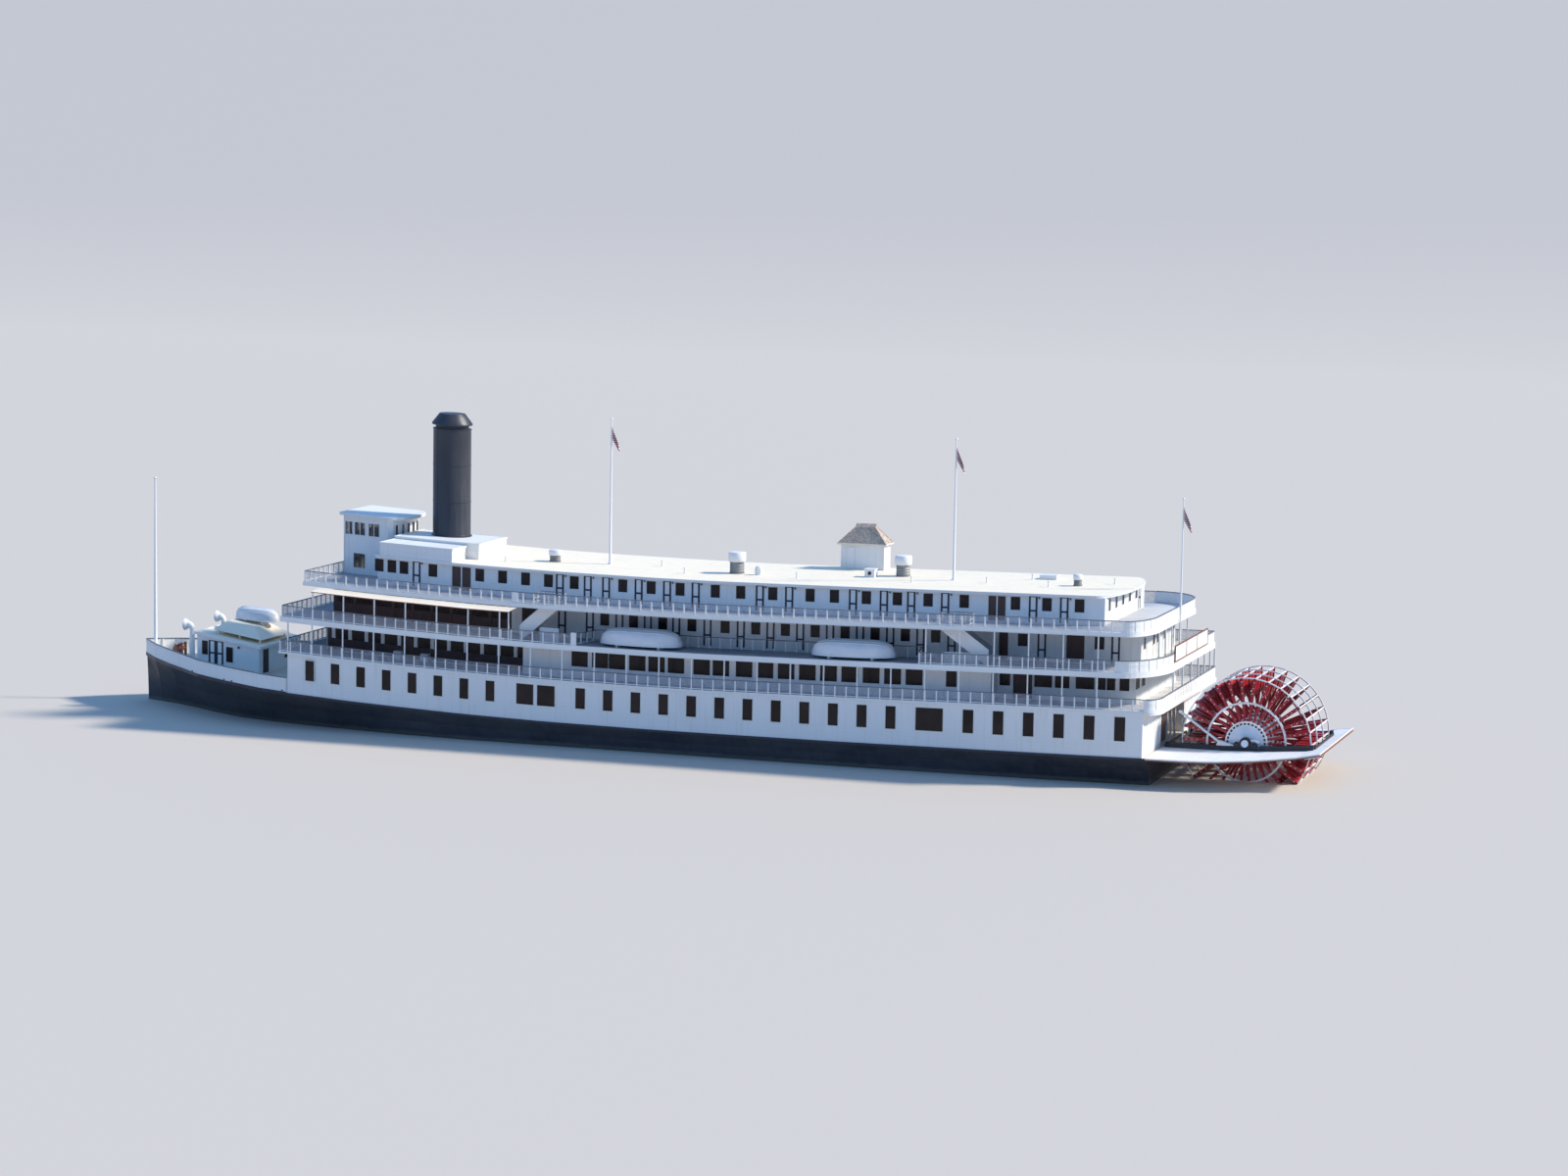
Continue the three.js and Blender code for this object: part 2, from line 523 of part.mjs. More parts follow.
const OUTER_POSTS = {
  saloon: [[postRow(680, 6660), OBSERVATION_DECK - OBSERVATION_DEPTH]],
  observation: [
    [[...postRow(AWNING.aft, AWNING.fore), AWNING.aft + 5], AWNING.top - AWNING.fall - AWNING.thickness],
    [postRow(800, LIFEBOAT_ZONE.aft - 40), TEXAS_DECK - TEXAS_DEPTH],
  ],
  texas: [],
};
for (const [name, deck] of Object.entries(DECKS)) {
  const { top } = deck;
  for (const [side, sign] of [["port", 1], ["starboard", -1]]) {
    const edge = deck[side];
    const [cornerX, half] = edge[edge.length / 2 - 1];
    const foreX = edge[edge.length - 1][0];
    const { aft, fore, rail, turn } = LIFEBOAT_ZONE;
    const jog = name === "observation" ? [[aft, half], [aft + turn, rail], [fore - turn, rail], [fore, half]] : [];
    const path = [[cornerX + 6, half], ...jog, [foreX, half]];
    const route = sign > 0 ? path : path.map(([x, y]) => [x, -y]).reverse();
    const uprights = OUTER_POSTS[name].flatMap(([places, head]) => posts(places, sign * half, top, head));
    placeSheered(`${name}_rail_${side}`, WHITE, joined([railing(route, top), ...uprights]));
  }
  const [foreX, half] = [deck.port[deck.port.length - 1][0], deck.port[deck.port.length / 2 - 1][1]];
  placeSheered(`${name}_rail_fore`, WHITE, railing([[foreX, half - 15], [foreX, 15 - half]], top));
  const boards = ribbon(sternEdge(deck), 8, 13, top + GAP, top + RAIL_HEIGHT);
  const sternPosts = name === "saloon" ? STERN_POSTS.map((y) =>
    block(469, 479, y - 4, y + 4, top + GAP, OBSERVATION_DECK - OBSERVATION_DEPTH - GAP)) : [];
  placeSheered(`${name}_rail_aft`, WHITE, joined([boards, ...sternPosts]));
}

// Canvas awnings on their own posts, with a small fall outwards
for (const [side, sign] of [["port", 1], ["starboard", -1]]) {
  const { inner, outer, top, fall, thickness } = AWNING;
  const section = [[inner, top], [outer, top - fall], [outer, top - fall - thickness], [inner, top - thickness]];
  placeSheered(`awning_${side}`, CREAM, loft([AWNING.aft, AWNING.fore].map((x) => section.map(([y, z]) => [x, sign * y, z]))));
}

// Pilothouse: hollow, with its windows cut
function pilothouse() {
  const { aft, fore, half, wall, curve, sill, head, top } = PILOT;
  const walls = (inset) => mirrored(
    halfPlan(aft + inset, fore - inset, half - inset, curve, 1, 3, half - inset - 30).slice(0, -1));
  const outer = plate(walls(0), TEXAS_DECK + GAP, top);
  const inner = plate(walls(wall), TEXAS_DECK - 1, top + 1);
  const windows = [[6208, 6287], [6316, 6394], [6412, 6466]].map(([x0, x1]) =>
    block(x0, x1, -half - 9, half + 9, sill, head));
  windows.push(block(6315, 6402, -half - 9, half + 9, 1004, 1105));
  for (const i of [-2, -1, 0, 1, 2]) {
    windows.push(block(aft - 9, aft + curve + 9, i * 90 - 20, i * 90 + 20, sill, head));
    windows.push(block(fore - wall - 9, fore + 9, i * 95 - 38, i * 95 + 38, sill, head));
  }
  const doorway = block(DOOR.aft, DOOR.fore, -half - 9, -half + wall + 9, DOOR.foot, DOOR.head);
  const brackets = [HINGE.foot - GAP - 6, HINGE.head + GAP].map((z) =>
    block(HINGE.x, HINGE.x + 8, -half - 5, -half + 2, z, z + 6));
  return surface(sum([outer]).subtract(sum([inner, doorway, ...windows])).add(sum(brackets)));
}
placeSheered("pilothouse", WHITE, pilothouse());
const doorLeaf = block(DOOR.aft + DOOR.play, DOOR.fore - DOOR.play, -PILOT.half, -PILOT.half + PILOT.wall,
  DOOR.foot + DOOR.play, DOOR.head - DOOR.play);
const hingePin = rod([HINGE.x, HINGE.y, HINGE.foot], [HINGE.x, HINGE.y, HINGE.head], HINGE.radius);
const hingeStrap = block(DOOR.fore - 14, HINGE.x, HINGE.y + 1, -PILOT.half + 1, HINGE.foot, HINGE.head);
placeSheered("pilothouse_door", WHITE, joined([doorLeaf, hingePin, hingeStrap]));
placeSheered("pilothouse_roof", WHITE,
  plate(mirrored(halfPlan(6020, PILOT.fore + 27, PILOT.half + 24, 120, 20, 4, 254)), PILOT.top + GAP, PILOT.top + 18));

// Funnel on its casing, which steps up at the port edge of the roof
placeSheered("funnel_casing", WHITE, joined([
  block(5510, 6050, -180, 588, ROOF + GAP, 1250), block(5420, 6050, -170, 330, ROOF + GAP, CASING_TOP)]));
placeSheered("funnel", GREY_STEEL, turned([[0, CASING_TOP + GAP], [FUNNEL_RADIUS, CASING_TOP + GAP],
  [FUNNEL_RADIUS, 2020], [118, 2020], [118, 2044], [142, 2050], [142, 2057], [92, 2126], [0, 2126]], 24, FUNNEL_X, 0));

// Masts and staffs
const pole = (x, z0, z1, radius) => turned([[0, z0], [radius, z0], [0.5 * radius, z1], [0, z1]], 10, x, 0);
placeSheered("jackstaff", WHITE, pole(8080, MAIN_DECK + GAP, 1455, 12));
placeSheered("foremast", WHITE, pole(4572, ROOF + GAP, 2175, 9));
placeSheered("mainmast", WHITE, pole(2096, ROOF + GAP, 2118, 9));
placeSheered("stern_staff", WHITE, pole(531, OBSERVATION_DECK + GAP, 1762, 7));

// Upturned boats on chocks: half sections are [distance along, share of the half breadth, share of the height]
const BOAT_SECTIONS = [[-292, 0.1, 0.12], [-272, 0.45, 0.5], [-225, 0.75, 0.86], [-120, 0.96, 1], [0, 1, 1], [120, 0.96, 0.99],
  [215, 0.74, 0.86], [270, 0.42, 0.56], [292, 0.08, 0.12]];
function upturned(x, y, z, length, half, height, chocks) {
  const scale = length / 584;
  const sections = BOAT_SECTIONS.map(([along, wide, high]) => {
    const [w, h] = [half * wide, height * high];
    return [[w, z], [0.94 * w, z + 0.6 * h], [0.5 * w, z + 0.93 * h], [0, z + h], [-0.5 * w, z + 0.93 * h],
      [-0.94 * w, z + 0.6 * h], [-w, z]].map(([dy, dz]) => [x + along * scale, y + dy, dz]);
  });
  return joined([loft(sections), ...chocks]);
}
const LIFEBOAT_X = [2562, 4060];
for (const [side, sign] of [["port", 1], ["starboard", -1]]) {
  LIFEBOAT_X.forEach((x, i) => {
    const y = sign * 740;
    const chocks = [-150, 150].map((along) =>
      block(x + along - 8, x + along + 8, y - 80, y + 80, OBSERVATION_DECK + GAP, OBSERVATION_DECK + 26));
    const name = `lifeboat_${side}_${i ? "fore" : "aft"}`;
    placeSheered(name, WHITE, upturned(x, y, OBSERVATION_DECK + 18, 584, 105, 106, chocks));
  });
}

// Small boat on the cover of the forecastle house
const boatChocks = [7240, 7380].map((x) => block(x - 6, x + 6, -110, -10, onForecastle(x + 6) + 85 + GAP, 506));
placeSheered("forecastle_boat", WHITE, upturned(7300, -60, 497, 330, 70, 90, boatChocks));

// Cowl ventilators with their mouths forward
for (const [side, sign] of [["port", 1], ["starboard", -1]]) {
  const [x, y, z] = [7660, sign * 250, 450];
  const pipe = new THREE.CylinderGeometry(17, 20, z - MAIN_DECK - GAP, 12).rotateX(Math.PI / 2)
    .translate(x, y, (z + MAIN_DECK + GAP) / 2);
  const elbow = new THREE.SphereGeometry(24, 12, 8).translate(x, y, z);
  const bell = (inset) => new THREE.CylinderGeometry(42 - inset, 20 - inset, 56, 14).rotateZ(-Math.PI / 2)
    .translate(x + 28 + inset, y, z + 4);
  placeSheered(`cowl_${side}`, WHITE, cut([pipe, elbow, bell(0)], [bell(4)]));
}

// Anchor windlass on the foredeck
const drum = new THREE.CylinderGeometry(16, 16, 84, 12).translate(7896, 0, MAIN_DECK + 62);
const heads = [-38, 38].map((y) => new THREE.CylinderGeometry(24, 24, 12, 12).translate(7896, y, MAIN_DECK + 62));
const cheeks = [-27, 27].map((y) => block(7878, 7914, y - 5, y + 5, MAIN_DECK + 8, MAIN_DECK + 92));
const bitts = [-30, 30].map((y) => block(7848, 7862, y - 7, y + 7, MAIN_DECK + 8, MAIN_DECK + 112));
placeSheered("windlass", BROWN, joined([block(7840, 7925, -48, 48, MAIN_DECK + GAP, MAIN_DECK + 10), drum,
  ...heads, ...cheeks, ...bitts]));

// Roof house with its hipped roof, and fan housings on the roof
const EAVES = 1337;
const hip = [[[2700, -585, 0], [3050, -585, 0], [3050, -410, 0], [2700, -410, 0]],
  [[2800, -520, 1], [2940, -520, 1], [2940, -475, 1], [2800, -475, 1]]];
const hipRoof = loft(hip.map((ring) => ring.map(([x, y, level]) => [x, y, EAVES + 110 * level])));
placeSheered("penthouse", WHITE, block(2720, 3028, -575, -430, ROOF + GAP, EAVES - GAP));
placeSheered("penthouse_roof", SHINGLE, hipRoof);
const FANS = [["roof_fan_fore", 4950, 80, 85, 45], ["roof_fan_middle", 3610, 90, 150, 60],
  ["roof_fan_aft", 2490, -130, 145, 58], ["roof_vent_aft", 1220, 60, 80, 32]];
for (const [name, x, y, height, radius] of FANS) {
  placeSheered(name, WHITE, turned([[0, ROOF + GAP], [0.8 * radius, ROOF + GAP], [0.8 * radius, ROOF + 0.6 * height],
    [radius, ROOF + 0.6 * height], [radius, ROOF + height], [0, ROOF + height]], 12, x, y));
}

export default boat;
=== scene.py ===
"""Sternwheel paddle boat, 1:10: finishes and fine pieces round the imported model.

Places are millimetres of the model, as on the drawing: x forward from the paddle shaft, y to port, z up from the
waterline. The function at() turns them into metres of the model's frame.
"""
import json
import math

import bpy
import numpy as np
from mathutils import Matrix, Vector


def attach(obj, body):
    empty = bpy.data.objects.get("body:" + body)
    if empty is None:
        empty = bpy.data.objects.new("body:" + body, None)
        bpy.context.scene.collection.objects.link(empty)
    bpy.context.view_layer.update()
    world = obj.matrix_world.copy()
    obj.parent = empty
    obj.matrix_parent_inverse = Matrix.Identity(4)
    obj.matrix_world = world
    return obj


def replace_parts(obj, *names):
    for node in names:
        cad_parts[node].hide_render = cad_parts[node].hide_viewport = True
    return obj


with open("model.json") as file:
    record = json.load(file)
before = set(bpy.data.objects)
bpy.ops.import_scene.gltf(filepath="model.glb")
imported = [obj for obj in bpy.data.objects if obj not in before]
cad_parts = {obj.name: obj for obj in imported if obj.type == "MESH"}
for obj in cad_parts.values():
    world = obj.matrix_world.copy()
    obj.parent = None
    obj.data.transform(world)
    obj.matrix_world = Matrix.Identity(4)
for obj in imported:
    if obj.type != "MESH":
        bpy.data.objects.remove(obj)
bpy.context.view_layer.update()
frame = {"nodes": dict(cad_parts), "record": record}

bl_info = {
    "name": "Sternwheel Paddle Boat",
    "version": (1, 0, 0),
    "blender": (4, 5, 0),
    "location": "View3D > Sidebar > Paddle Boat",
    "description": "Finishes and fine pieces of a tenth-scale sternwheel paddle boat",
    "category": "Object",
}

# Frame of the drawing
MIDDLE_X, DRAFT = 3807.0, 230.0

# Levels of the decks amidships, and the sheer: rows of x, rise of every deck, further rise of the upper works
MAIN_DECK, SALOON_DECK, OBSERVATION_DECK, TEXAS_DECK, ROOF = 169.0, 457.0, 700.0, 958.0, 1158.0
OBSERVATION_DEPTH, TEXAS_DEPTH = 36.0, 25.0
UPPER_WORKS = 300.0
SHEER = np.array([
    [-560, 90, 20], [-400, 62, 20], [-130, 42, 20], [150, 30, 20], [560, 28, 18], [1600, 15, 15], [2600, 5, 8],
    [3600, 0, 0], [4000, 0, 0], [4700, 6, 0], [5300, 20, 0], [5900, 44, 0], [6200, 59, 0], [8200, 168, 0]], float)
BOW_EDGE = np.array([[6200, 884], [6630, 870], [6855, 840], [7150, 739], [7440, 609], [7620, 469], [7790, 346],
                     [7990, 180], [8150, 12]], float)

# Half breadths of the deck and of the houses' walls, and the gap that seated pieces keep
HALF_BEAM = 884.0
MAIN_WALL, SALOON_WALL, SALOON_RECESS, OBSERVATION_WALL, TEXAS_WALL = 880.0, 730.0, 586.0, 500.0, 560.0
SIDES = ((1.0, "port"), (-1.0, "starboard"))
GAP = 0.3


def lift(x, z):
    """Rise of a point by the sheer: the table's rise, and its further rise for points of the upper works."""
    rise = np.interp(x, SHEER[:, 0], SHEER[:, 1])
    return rise + np.where(np.asarray(z) > UPPER_WORKS, np.interp(x, SHEER[:, 0], SHEER[:, 2]), 0.0)


def at(points, sheer=True):
    """Points of the drawing in metres of the frame; with sheer, each is first lifted by the rise at its x."""
    p = np.array(points, float)
    z = p[..., 2] + (lift(p[..., 0], p[..., 2]) if sheer else 0.0)
    return np.stack([(p[..., 0] - MIDDLE_X) / 1000, p[..., 1] / 1000, (z + DRAFT) / 1000], -1)


# Meshes from arrays
def new_piece(name, points, faces, materials, body="root", slot="white_paint", sheer=True, smooth=False, tags=None):
    """A piece from points of the drawing and faces of equal corner counts; tags pick each face's material."""
    mesh = bpy.data.meshes.new(name)
    co = at(points, sheer).reshape(-1, 3)
    faces = np.asarray(faces, np.int32)
    count, corners = faces.shape
    mesh.vertices.add(len(co))
    mesh.vertices.foreach_set("co", co.astype(np.float32).ravel())
    mesh.loops.add(count * corners)
    mesh.loops.foreach_set("vertex_index", faces.ravel())
    mesh.polygons.add(count)
    mesh.polygons.foreach_set("loop_start", np.arange(0, count * corners, corners, dtype=np.int32))
    mesh.polygons.foreach_set("loop_total", np.full(count, corners, np.int32))
    mesh.polygons.foreach_set("use_smooth", np.broadcast_to(np.asarray(smooth, bool), count).copy())
    for each in materials:
        mesh.materials.append(each)
    if tags is not None:
        mesh.polygons.foreach_set("material_index", np.asarray(tags, np.int32))
    mesh.update(calc_edges=True)
    mesh.validate()
    if np.any(smooth):
        mesh.set_sharp_from_angle(angle=math.radians(38))
    piece = bpy.data.objects.new(name, mesh)
    bpy.context.scene.collection.objects.link(piece)
    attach(piece, body)
    return piece


def assembly(name, groups, **options):
    """One piece of several skins: each group is a skin, the maker of its finish, and True where it is smooth."""
    makers = list(dict.fromkeys(group[1] for group in groups))
    counts = [len(group[0][1]) for group in groups]
    points, faces = merged([group[0] for group in groups])
    options["tags"] = np.repeat([makers.index(group[1]) for group in groups], counts)
    options["smooth"] = np.repeat([len(group) > 2 for group in groups], counts)
    return new_piece(name, points, faces, [finish(maker) for maker in makers], **options)


BOX_CORNERS = np.array([[i, j, k] for i in (0, 1) for j in (0, 1) for k in (0, 1)])
BOX_FACES = np.array([[0, 1, 3, 2], [4, 6, 7, 5], [0, 4, 5, 1], [2, 3, 7, 6], [0, 2, 6, 4], [1, 5, 7, 3]])


def box_part(rows):
    """Boxes given as rows of x0, x1, y0, y1, z0, z1: corners pick low or high on each axis, six quads to a box."""
    b = np.sort(np.array(rows, float).reshape(-1, 3, 2), axis=2)
    return (b[:, np.arange(3), BOX_CORNERS].reshape(-1, 3),
            (BOX_FACES[None] + 8 * np.arange(len(b))[:, None, None]).reshape(-1, 4))


def block(x, y, along, across, low, high):
    """The row of a box about a place in plan, with its half length and half breadth."""
    return [x - along, x + along, y - across, y + across, low, high]


def grid_faces(rows, columns, close_rows=False, close_columns=False):
    """Quads between neighbouring points of a grid, wrapped where it closes on itself."""
    i = np.arange(rows if close_rows else rows - 1)
    j = np.arange(columns if close_columns else columns - 1)
    i, j = [a.ravel() for a in np.meshgrid(i, j, indexing="ij")]
    i2, j2 = (i + 1) % rows, (j + 1) % columns
    return np.stack([i * columns + j, i * columns + j2, i2 * columns + j2, i2 * columns + j], -1)


def outward(points, faces):
    """The faces, turned round if the volume that they enclose comes out negative."""
    p = np.asarray(points, float).reshape(-1, 3)
    a, b, c, d = [p[faces[:, k]] for k in range(4)]
    volume = np.einsum("ij,ij->", a, np.cross(b, c)) + np.einsum("ij,ij->", a, np.cross(c, d))
    return faces[:, ::-1] if volume < 0 else faces


def capped(sections):
    """Closed skin over sections of equal counts: quads along it, and each end closed by quads to its middle."""
    sections = np.asarray(sections, float)
    rows, columns, _ = sections.shape
    ends = [np.broadcast_to(sections[k].mean(0), (columns, 3)) for k in (0, -1)]
    points = np.concatenate([ends[0][None], sections, ends[1][None]])
    return points.reshape(-1, 3), outward(points, grid_faces(rows + 2, columns, close_columns=True))


def merged(parts):
    """Points and faces of several closed skins in one pair of arrays."""
    starts = np.cumsum([0] + [len(p) for p, _ in parts[:-1]])
    return np.concatenate([p for p, _ in parts]), np.concatenate([f + s for (_, f), s in zip(parts, starts)])


def turned(profile, sides=32, centre=(0, 0, 0), axis="z", closed=False):
    """A profile of radius and height turned about an axis: each point goes round a circle of its radius."""
    profile = np.array(profile, float)
    turn = np.linspace(0, 2 * math.pi, sides, endpoint=False)
    r, h = profile[:, :1], np.broadcast_to(profile[:, 1:2], (len(profile), sides))
    a, b = r * np.cos(turn), r * np.sin(turn)
    points = np.stack({"z": (a, b, h), "y": (a, h, b), "x": (h, a, b)}[axis], -1).reshape(-1, 3) + centre
    return points, outward(points, grid_faces(len(profile), sides, closed, True))


def ring(inner, outer, low, high, sides=64, axis="z"):
    """A flat ring with a square section, turned about an axis."""
    return turned([(inner, low), (outer, low), (outer, high), (inner, high)], sides, axis=axis, closed=True)


def tube(path, radius, sides=8):
    """A round bar along a path: a circle at each point in the plane of side, which is level, and up, which is square
    to side and path; the radius may vary."""
    path = np.array(path, float)
    along = np.gradient(path, axis=0)
    along /= np.linalg.norm(along, axis=1)[:, None]
    side = np.cross(along, [0, 0, 1.0])
    side[np.linalg.norm(side, axis=1) < 1e-6] = [0, 1, 0]
    side /= np.linalg.norm(side, axis=1)[:, None]
    up = np.cross(side, along)
    turn = np.linspace(0, 2 * math.pi, sides, endpoint=False)[None, :, None]
    r = np.broadcast_to(np.asarray(radius, float), (len(path),))[:, None, None]
    return capped(path[:, None] + r * (np.cos(turn) * side[:, None] + np.sin(turn) * up[:, None]))


def mitres(path, closed=False):
    """Level vectors to the right of a path at its points, lengthened at corners so that a strip keeps its breadth."""
    flat = np.asarray(path, float)[:, :2]
    step = np.roll(flat, -1, axis=0) - flat
    if not closed:
        step[-1] = step[-2]
    step /= np.linalg.norm(step, axis=1)[:, None]
    before = np.roll(step, 1, axis=0)
    if not closed:
        before[0] = step[0]
    after, middle = [np.column_stack([s[:, 1], -s[:, 0]]) for s in (step, step + before)]
    middle /= np.linalg.norm(middle, axis=1)[:, None]
    middle /= np.maximum((middle * after).sum(1), 0.4)[:, None]
    return np.column_stack([middle, np.zeros(len(flat))])


def strip(path, near, far, low, high, level=0.0, closed=False):
    """A board along a level path with mitred corners, between two distances to its right and two heights over level."""
    path = np.asarray(path, float)[:, :2]
    section = np.array([(near, low), (far, low), (far, high), (near, high)], float)
    base = np.column_stack([path, np.full(len(path), float(level))])
    rings = (base[:, None] + section[None, :, :1] * mitres(path, closed)[:, None]
             + section[None, :, 1:2] * np.array([0, 0, 1.0]))
    if not closed:
        return capped(rings)
    points = rings.reshape(-1, 3)
    return points, outward(points, grid_faces(len(rings), 4, True, True))


def several(part, places):
    """Copies of a part, moved by each of a number of places."""
    points, faces = part
    places = np.array(places, float).reshape(-1, 1, 3)
    copies = faces[None] + len(points) * np.arange(len(places))[:, None, None]
    return (places + points[None]).reshape(-1, 3), copies.reshape(-1, faces.shape[1])


def spun(part, turns):
    """Copies of a part turned about the y axis by each angle: x and z of every point go round the axis."""
    points, faces = part
    c, s = np.cos(turns)[:, None], np.sin(turns)[:, None]
    x, y, z = points.T
    copies = faces[None] + len(points) * np.arange(len(turns))[:, None, None]
    points = np.stack([x * c - z * s, np.broadcast_to(y, (len(turns), len(y))), x * s + z * c], -1)
    return points.reshape(-1, 3), copies.reshape(-1, faces.shape[1])


def moved(part, place):
    """A part moved to a place."""
    return part[0] + np.array(place, float), part[1]


# Lines in plan
def quarter(x, y, along, across, steps):
    """A quarter of an ellipse in plan, from (x, y - across) round to (x + along, y)."""
    turn = np.linspace(0, math.pi / 2, steps)
    return np.column_stack([x + along * (1 - np.cos(turn)), y - across * (1 - np.sin(turn))])


def both_sides(port):
    """A line on the port side from aft forward, completed by its mirror image: anticlockwise, starboard first."""
    return np.concatenate([port * [1, -1], port[::-1]])


def fine(path, step=120.0):
    """A broken line with points added, so that it follows the sheer."""
    path = np.asarray(path, float)
    return np.concatenate([np.linspace(a, b, max(2, int(np.linalg.norm(b - a) / step) + 1))[:-1]
                           for a, b in zip(path[:-1], path[1:])] + [path[-1:]])


def spread(path, pitch):
    """Points at an even pitch along a broken line."""
    length = np.concatenate([[0], np.cumsum(np.linalg.norm(np.diff(path, axis=0), axis=1))])
    places = np.linspace(0, length[-1], int(round(length[-1] / pitch)) + 1)
    return np.stack([np.interp(places, length, path[:, k]) for k in (0, 1)], -1)


def uprights(places, half, low, high):
    """Square posts at places in plan, from one level to another."""
    return box_part([block(x, y, half, half, low, high) for x, y in places])


def even(first, pitch, count):
    """Places at an even pitch going aft from the first."""
    return [first - pitch * i for i in range(count)]


# Shader maths
class Wire:
    """A socket whose arithmetic adds Math nodes, so that a pattern reads as a formula."""

    def __init__(self, finish, socket):
        self.finish, self.socket = finish, socket

    def _math(self, operation, *others):
        return self.finish.node("ShaderNodeMath", {"operation": operation}, dict(enumerate((self, *others))))

    def __add__(self, other): return self._math("ADD", other)
    __radd__ = __add__
    def __mul__(self, other): return self._math("MULTIPLY", other)
    def __sub__(self, other): return self._math("SUBTRACT", other)
    def __truediv__(self, other): return self._math("DIVIDE", other)
    def __rsub__(self, other): return (self * -1.0) + other
    def __gt__(self, other): return self._math("GREATER_THAN", other)
    def __abs__(self): return self._math("ABSOLUTE")
    def __mod__(self, other): return self._math("FLOORED_MODULO", other)
    def floor(self): return self._math("FLOOR")
    def high(self, other): return self._math("MAXIMUM", other)
    def low(self, other): return self._math("MINIMUM", other)

    def ramp(self, low, high):
        """0 below low, 1 above high, and straight between."""
        return self.finish.node("ShaderNodeMapRange", {"clamp": True},
                                {"Value": self, "From Min": low, "From Max": high})


class Finish:
    """A material under construction: one method makes any node, and the shader's own sockets take its results."""

    def __init__(self, name, roughness=0.5, metallic=0.0, **constants):
        self.material = bpy.data.materials.new(name)
        self.material.use_nodes = True
        self.tree = self.material.node_tree
        self.shader = self.tree.nodes["Principled BSDF"]
        self.paint(Roughness=roughness, Metallic=metallic, **constants)
        self.place = self.node("ShaderNodeTexCoord", {}, {}, "Object")
        parts = self.node("ShaderNodeSeparateXYZ", {}, {0: self.place}).socket.node
        self.x, self.y, self.z = [Wire(self, output) for output in parts.outputs]

    def node(self, kind, settings, sockets, output=0):
        """Adds a node: its settings first, then a value or a link for each of its sockets."""
        made = self.tree.nodes.new(kind)
        for key, value in settings.items():
            setattr(made, key, value)
        for key, value in sockets.items():
            if isinstance(value, Wire):
                self.tree.links.new(value.socket, made.inputs[key])
            else:
                made.inputs[key].default_value = value
        return Wire(self, made.outputs[output])

    def noise(self, scale, detail=3.0, stretch=(1, 1, 1)):
        """Cloudy noise on the piece's own place, stretched along the axes."""
        mapped = self.node("ShaderNodeMapping", {}, {"Vector": self.place, "Scale": stretch})
        return self.node("ShaderNodeTexNoise", {}, {"Vector": mapped, "Scale": scale, "Detail": detail,
                                                     "Roughness": 0.55})

    def cells(self, place):
        """A random tone for each whole number of a place along a line."""
        return self.node("ShaderNodeTexWhiteNoise", {"noise_dimensions": "1D"}, {"W": place.floor()})

    def colour(self, factor, low, high):
        """A colour between two: low where the factor is 0 and high where it is 1."""
        low, high = [c if isinstance(c, Wire) else (*c, 1.0) for c in (low, high)]
        return self.node("ShaderNodeMix", {"data_type": "RGBA"}, {0: factor, 6: low, 7: high}, 2)

    def coats(self, base, *coats):
        """A base colour under coats, each given as its cover and its colour."""
        for cover, colour in coats:
            base = self.colour(cover, base, colour)
        return base

    def paint(self, **sockets):
        """Sets the shader's sockets, named as on the shader with _ for a space, or links results to them."""
        for socket, value in sockets.items():
            target = self.shader.inputs[socket.replace("_", " ")]
            if isinstance(value, Wire):
                self.tree.links.new(value.socket, target)
            else:
                target.default_value = (*value, 1.0) if isinstance(value, tuple) else value
        return self

    def bump(self, height, strength=0.3, distance=0.001):
        """A Bump node that feeds the shader's normal."""
        normal = self.node("ShaderNodeBump", {}, {"Height": height, "Strength": strength, "Distance": distance})
        return self.paint(Normal=normal)


FINISHES = {}


def finish(maker):
    """The material that a maker function builds, made once."""
    if maker not in FINISHES:
        FINISHES[maker] = maker().material
    return FINISHES[maker]


def look(name):
    """A colour of the boat's settings."""
    return tuple(getattr(bpy.context.scene.paddle_boat_looks, name))


def lines(place, pitch, breadth):
    """0 on lines at an even pitch and 1 between them."""
    return abs((place % pitch) - pitch / 2).ramp(0.0, breadth)


def joints(place, near, far):
    """1 in the joints between whole numbers of a place and 0 on what lies between them."""
    return abs((place % 1.0) - 0.5).ramp(near, far)


def mottled(name, low, high, noise, ramp=(0.35, 0.75), cover=0.5, sheen=None, bump=None, **shader):
    """Maker of a finish that clouds of noise take from one colour, which may be a setting's name, to another; sheen
    is the roughness where there are none and what they add to it, and bump its strength and distance."""
    def maker():
        f = Finish(name, **shader)
        clouds = f.noise(*noise).ramp(*ramp) if ramp else f.noise(*noise)
        first = look(low) if isinstance(low, str) else low
        f.paint(Base_Color=f.colour(clouds * cover if cover else clouds, first, high))
        if sheen:
            f.paint(Roughness=sheen[0] + clouds * sheen[1])
        return f.bump(clouds, *bump) if bump else f
    return maker


# Gloss white of posts, rails and trim, a little yellowed
smooth_white = mottled("trim_white_paint", "white", (0.70, 0.66, 0.58), (7.0,), (0.4, 0.8), 0.3, (0.35, 0.2))
hub_grey = mottled("hub_grey_paint", (0.70, 0.75, 0.82), (0.40, 0.43, 0.48), (12.0, 4.0), roughness=0.45, metallic=0.1)
dark_steel = mottled("dark_steel", (0.035, 0.035, 0.04), (0.11, 0.085, 0.07), (14.0, 4.0), (0.35, 0.7), 0.6,
                     (0.35, 0.3), metallic=0.7)
# Tarred timber, its grain along the boat, grey where it has dried
black_timber = mottled("tarred_timber", (0.012, 0.013, 0.018), (0.06, 0.06, 0.065), (30.0, 4.0, (0.1, 1.5, 1.5)),
                       cover=0.6, sheen=(0.5, 0.2), bump=(0.3, 0.0008))
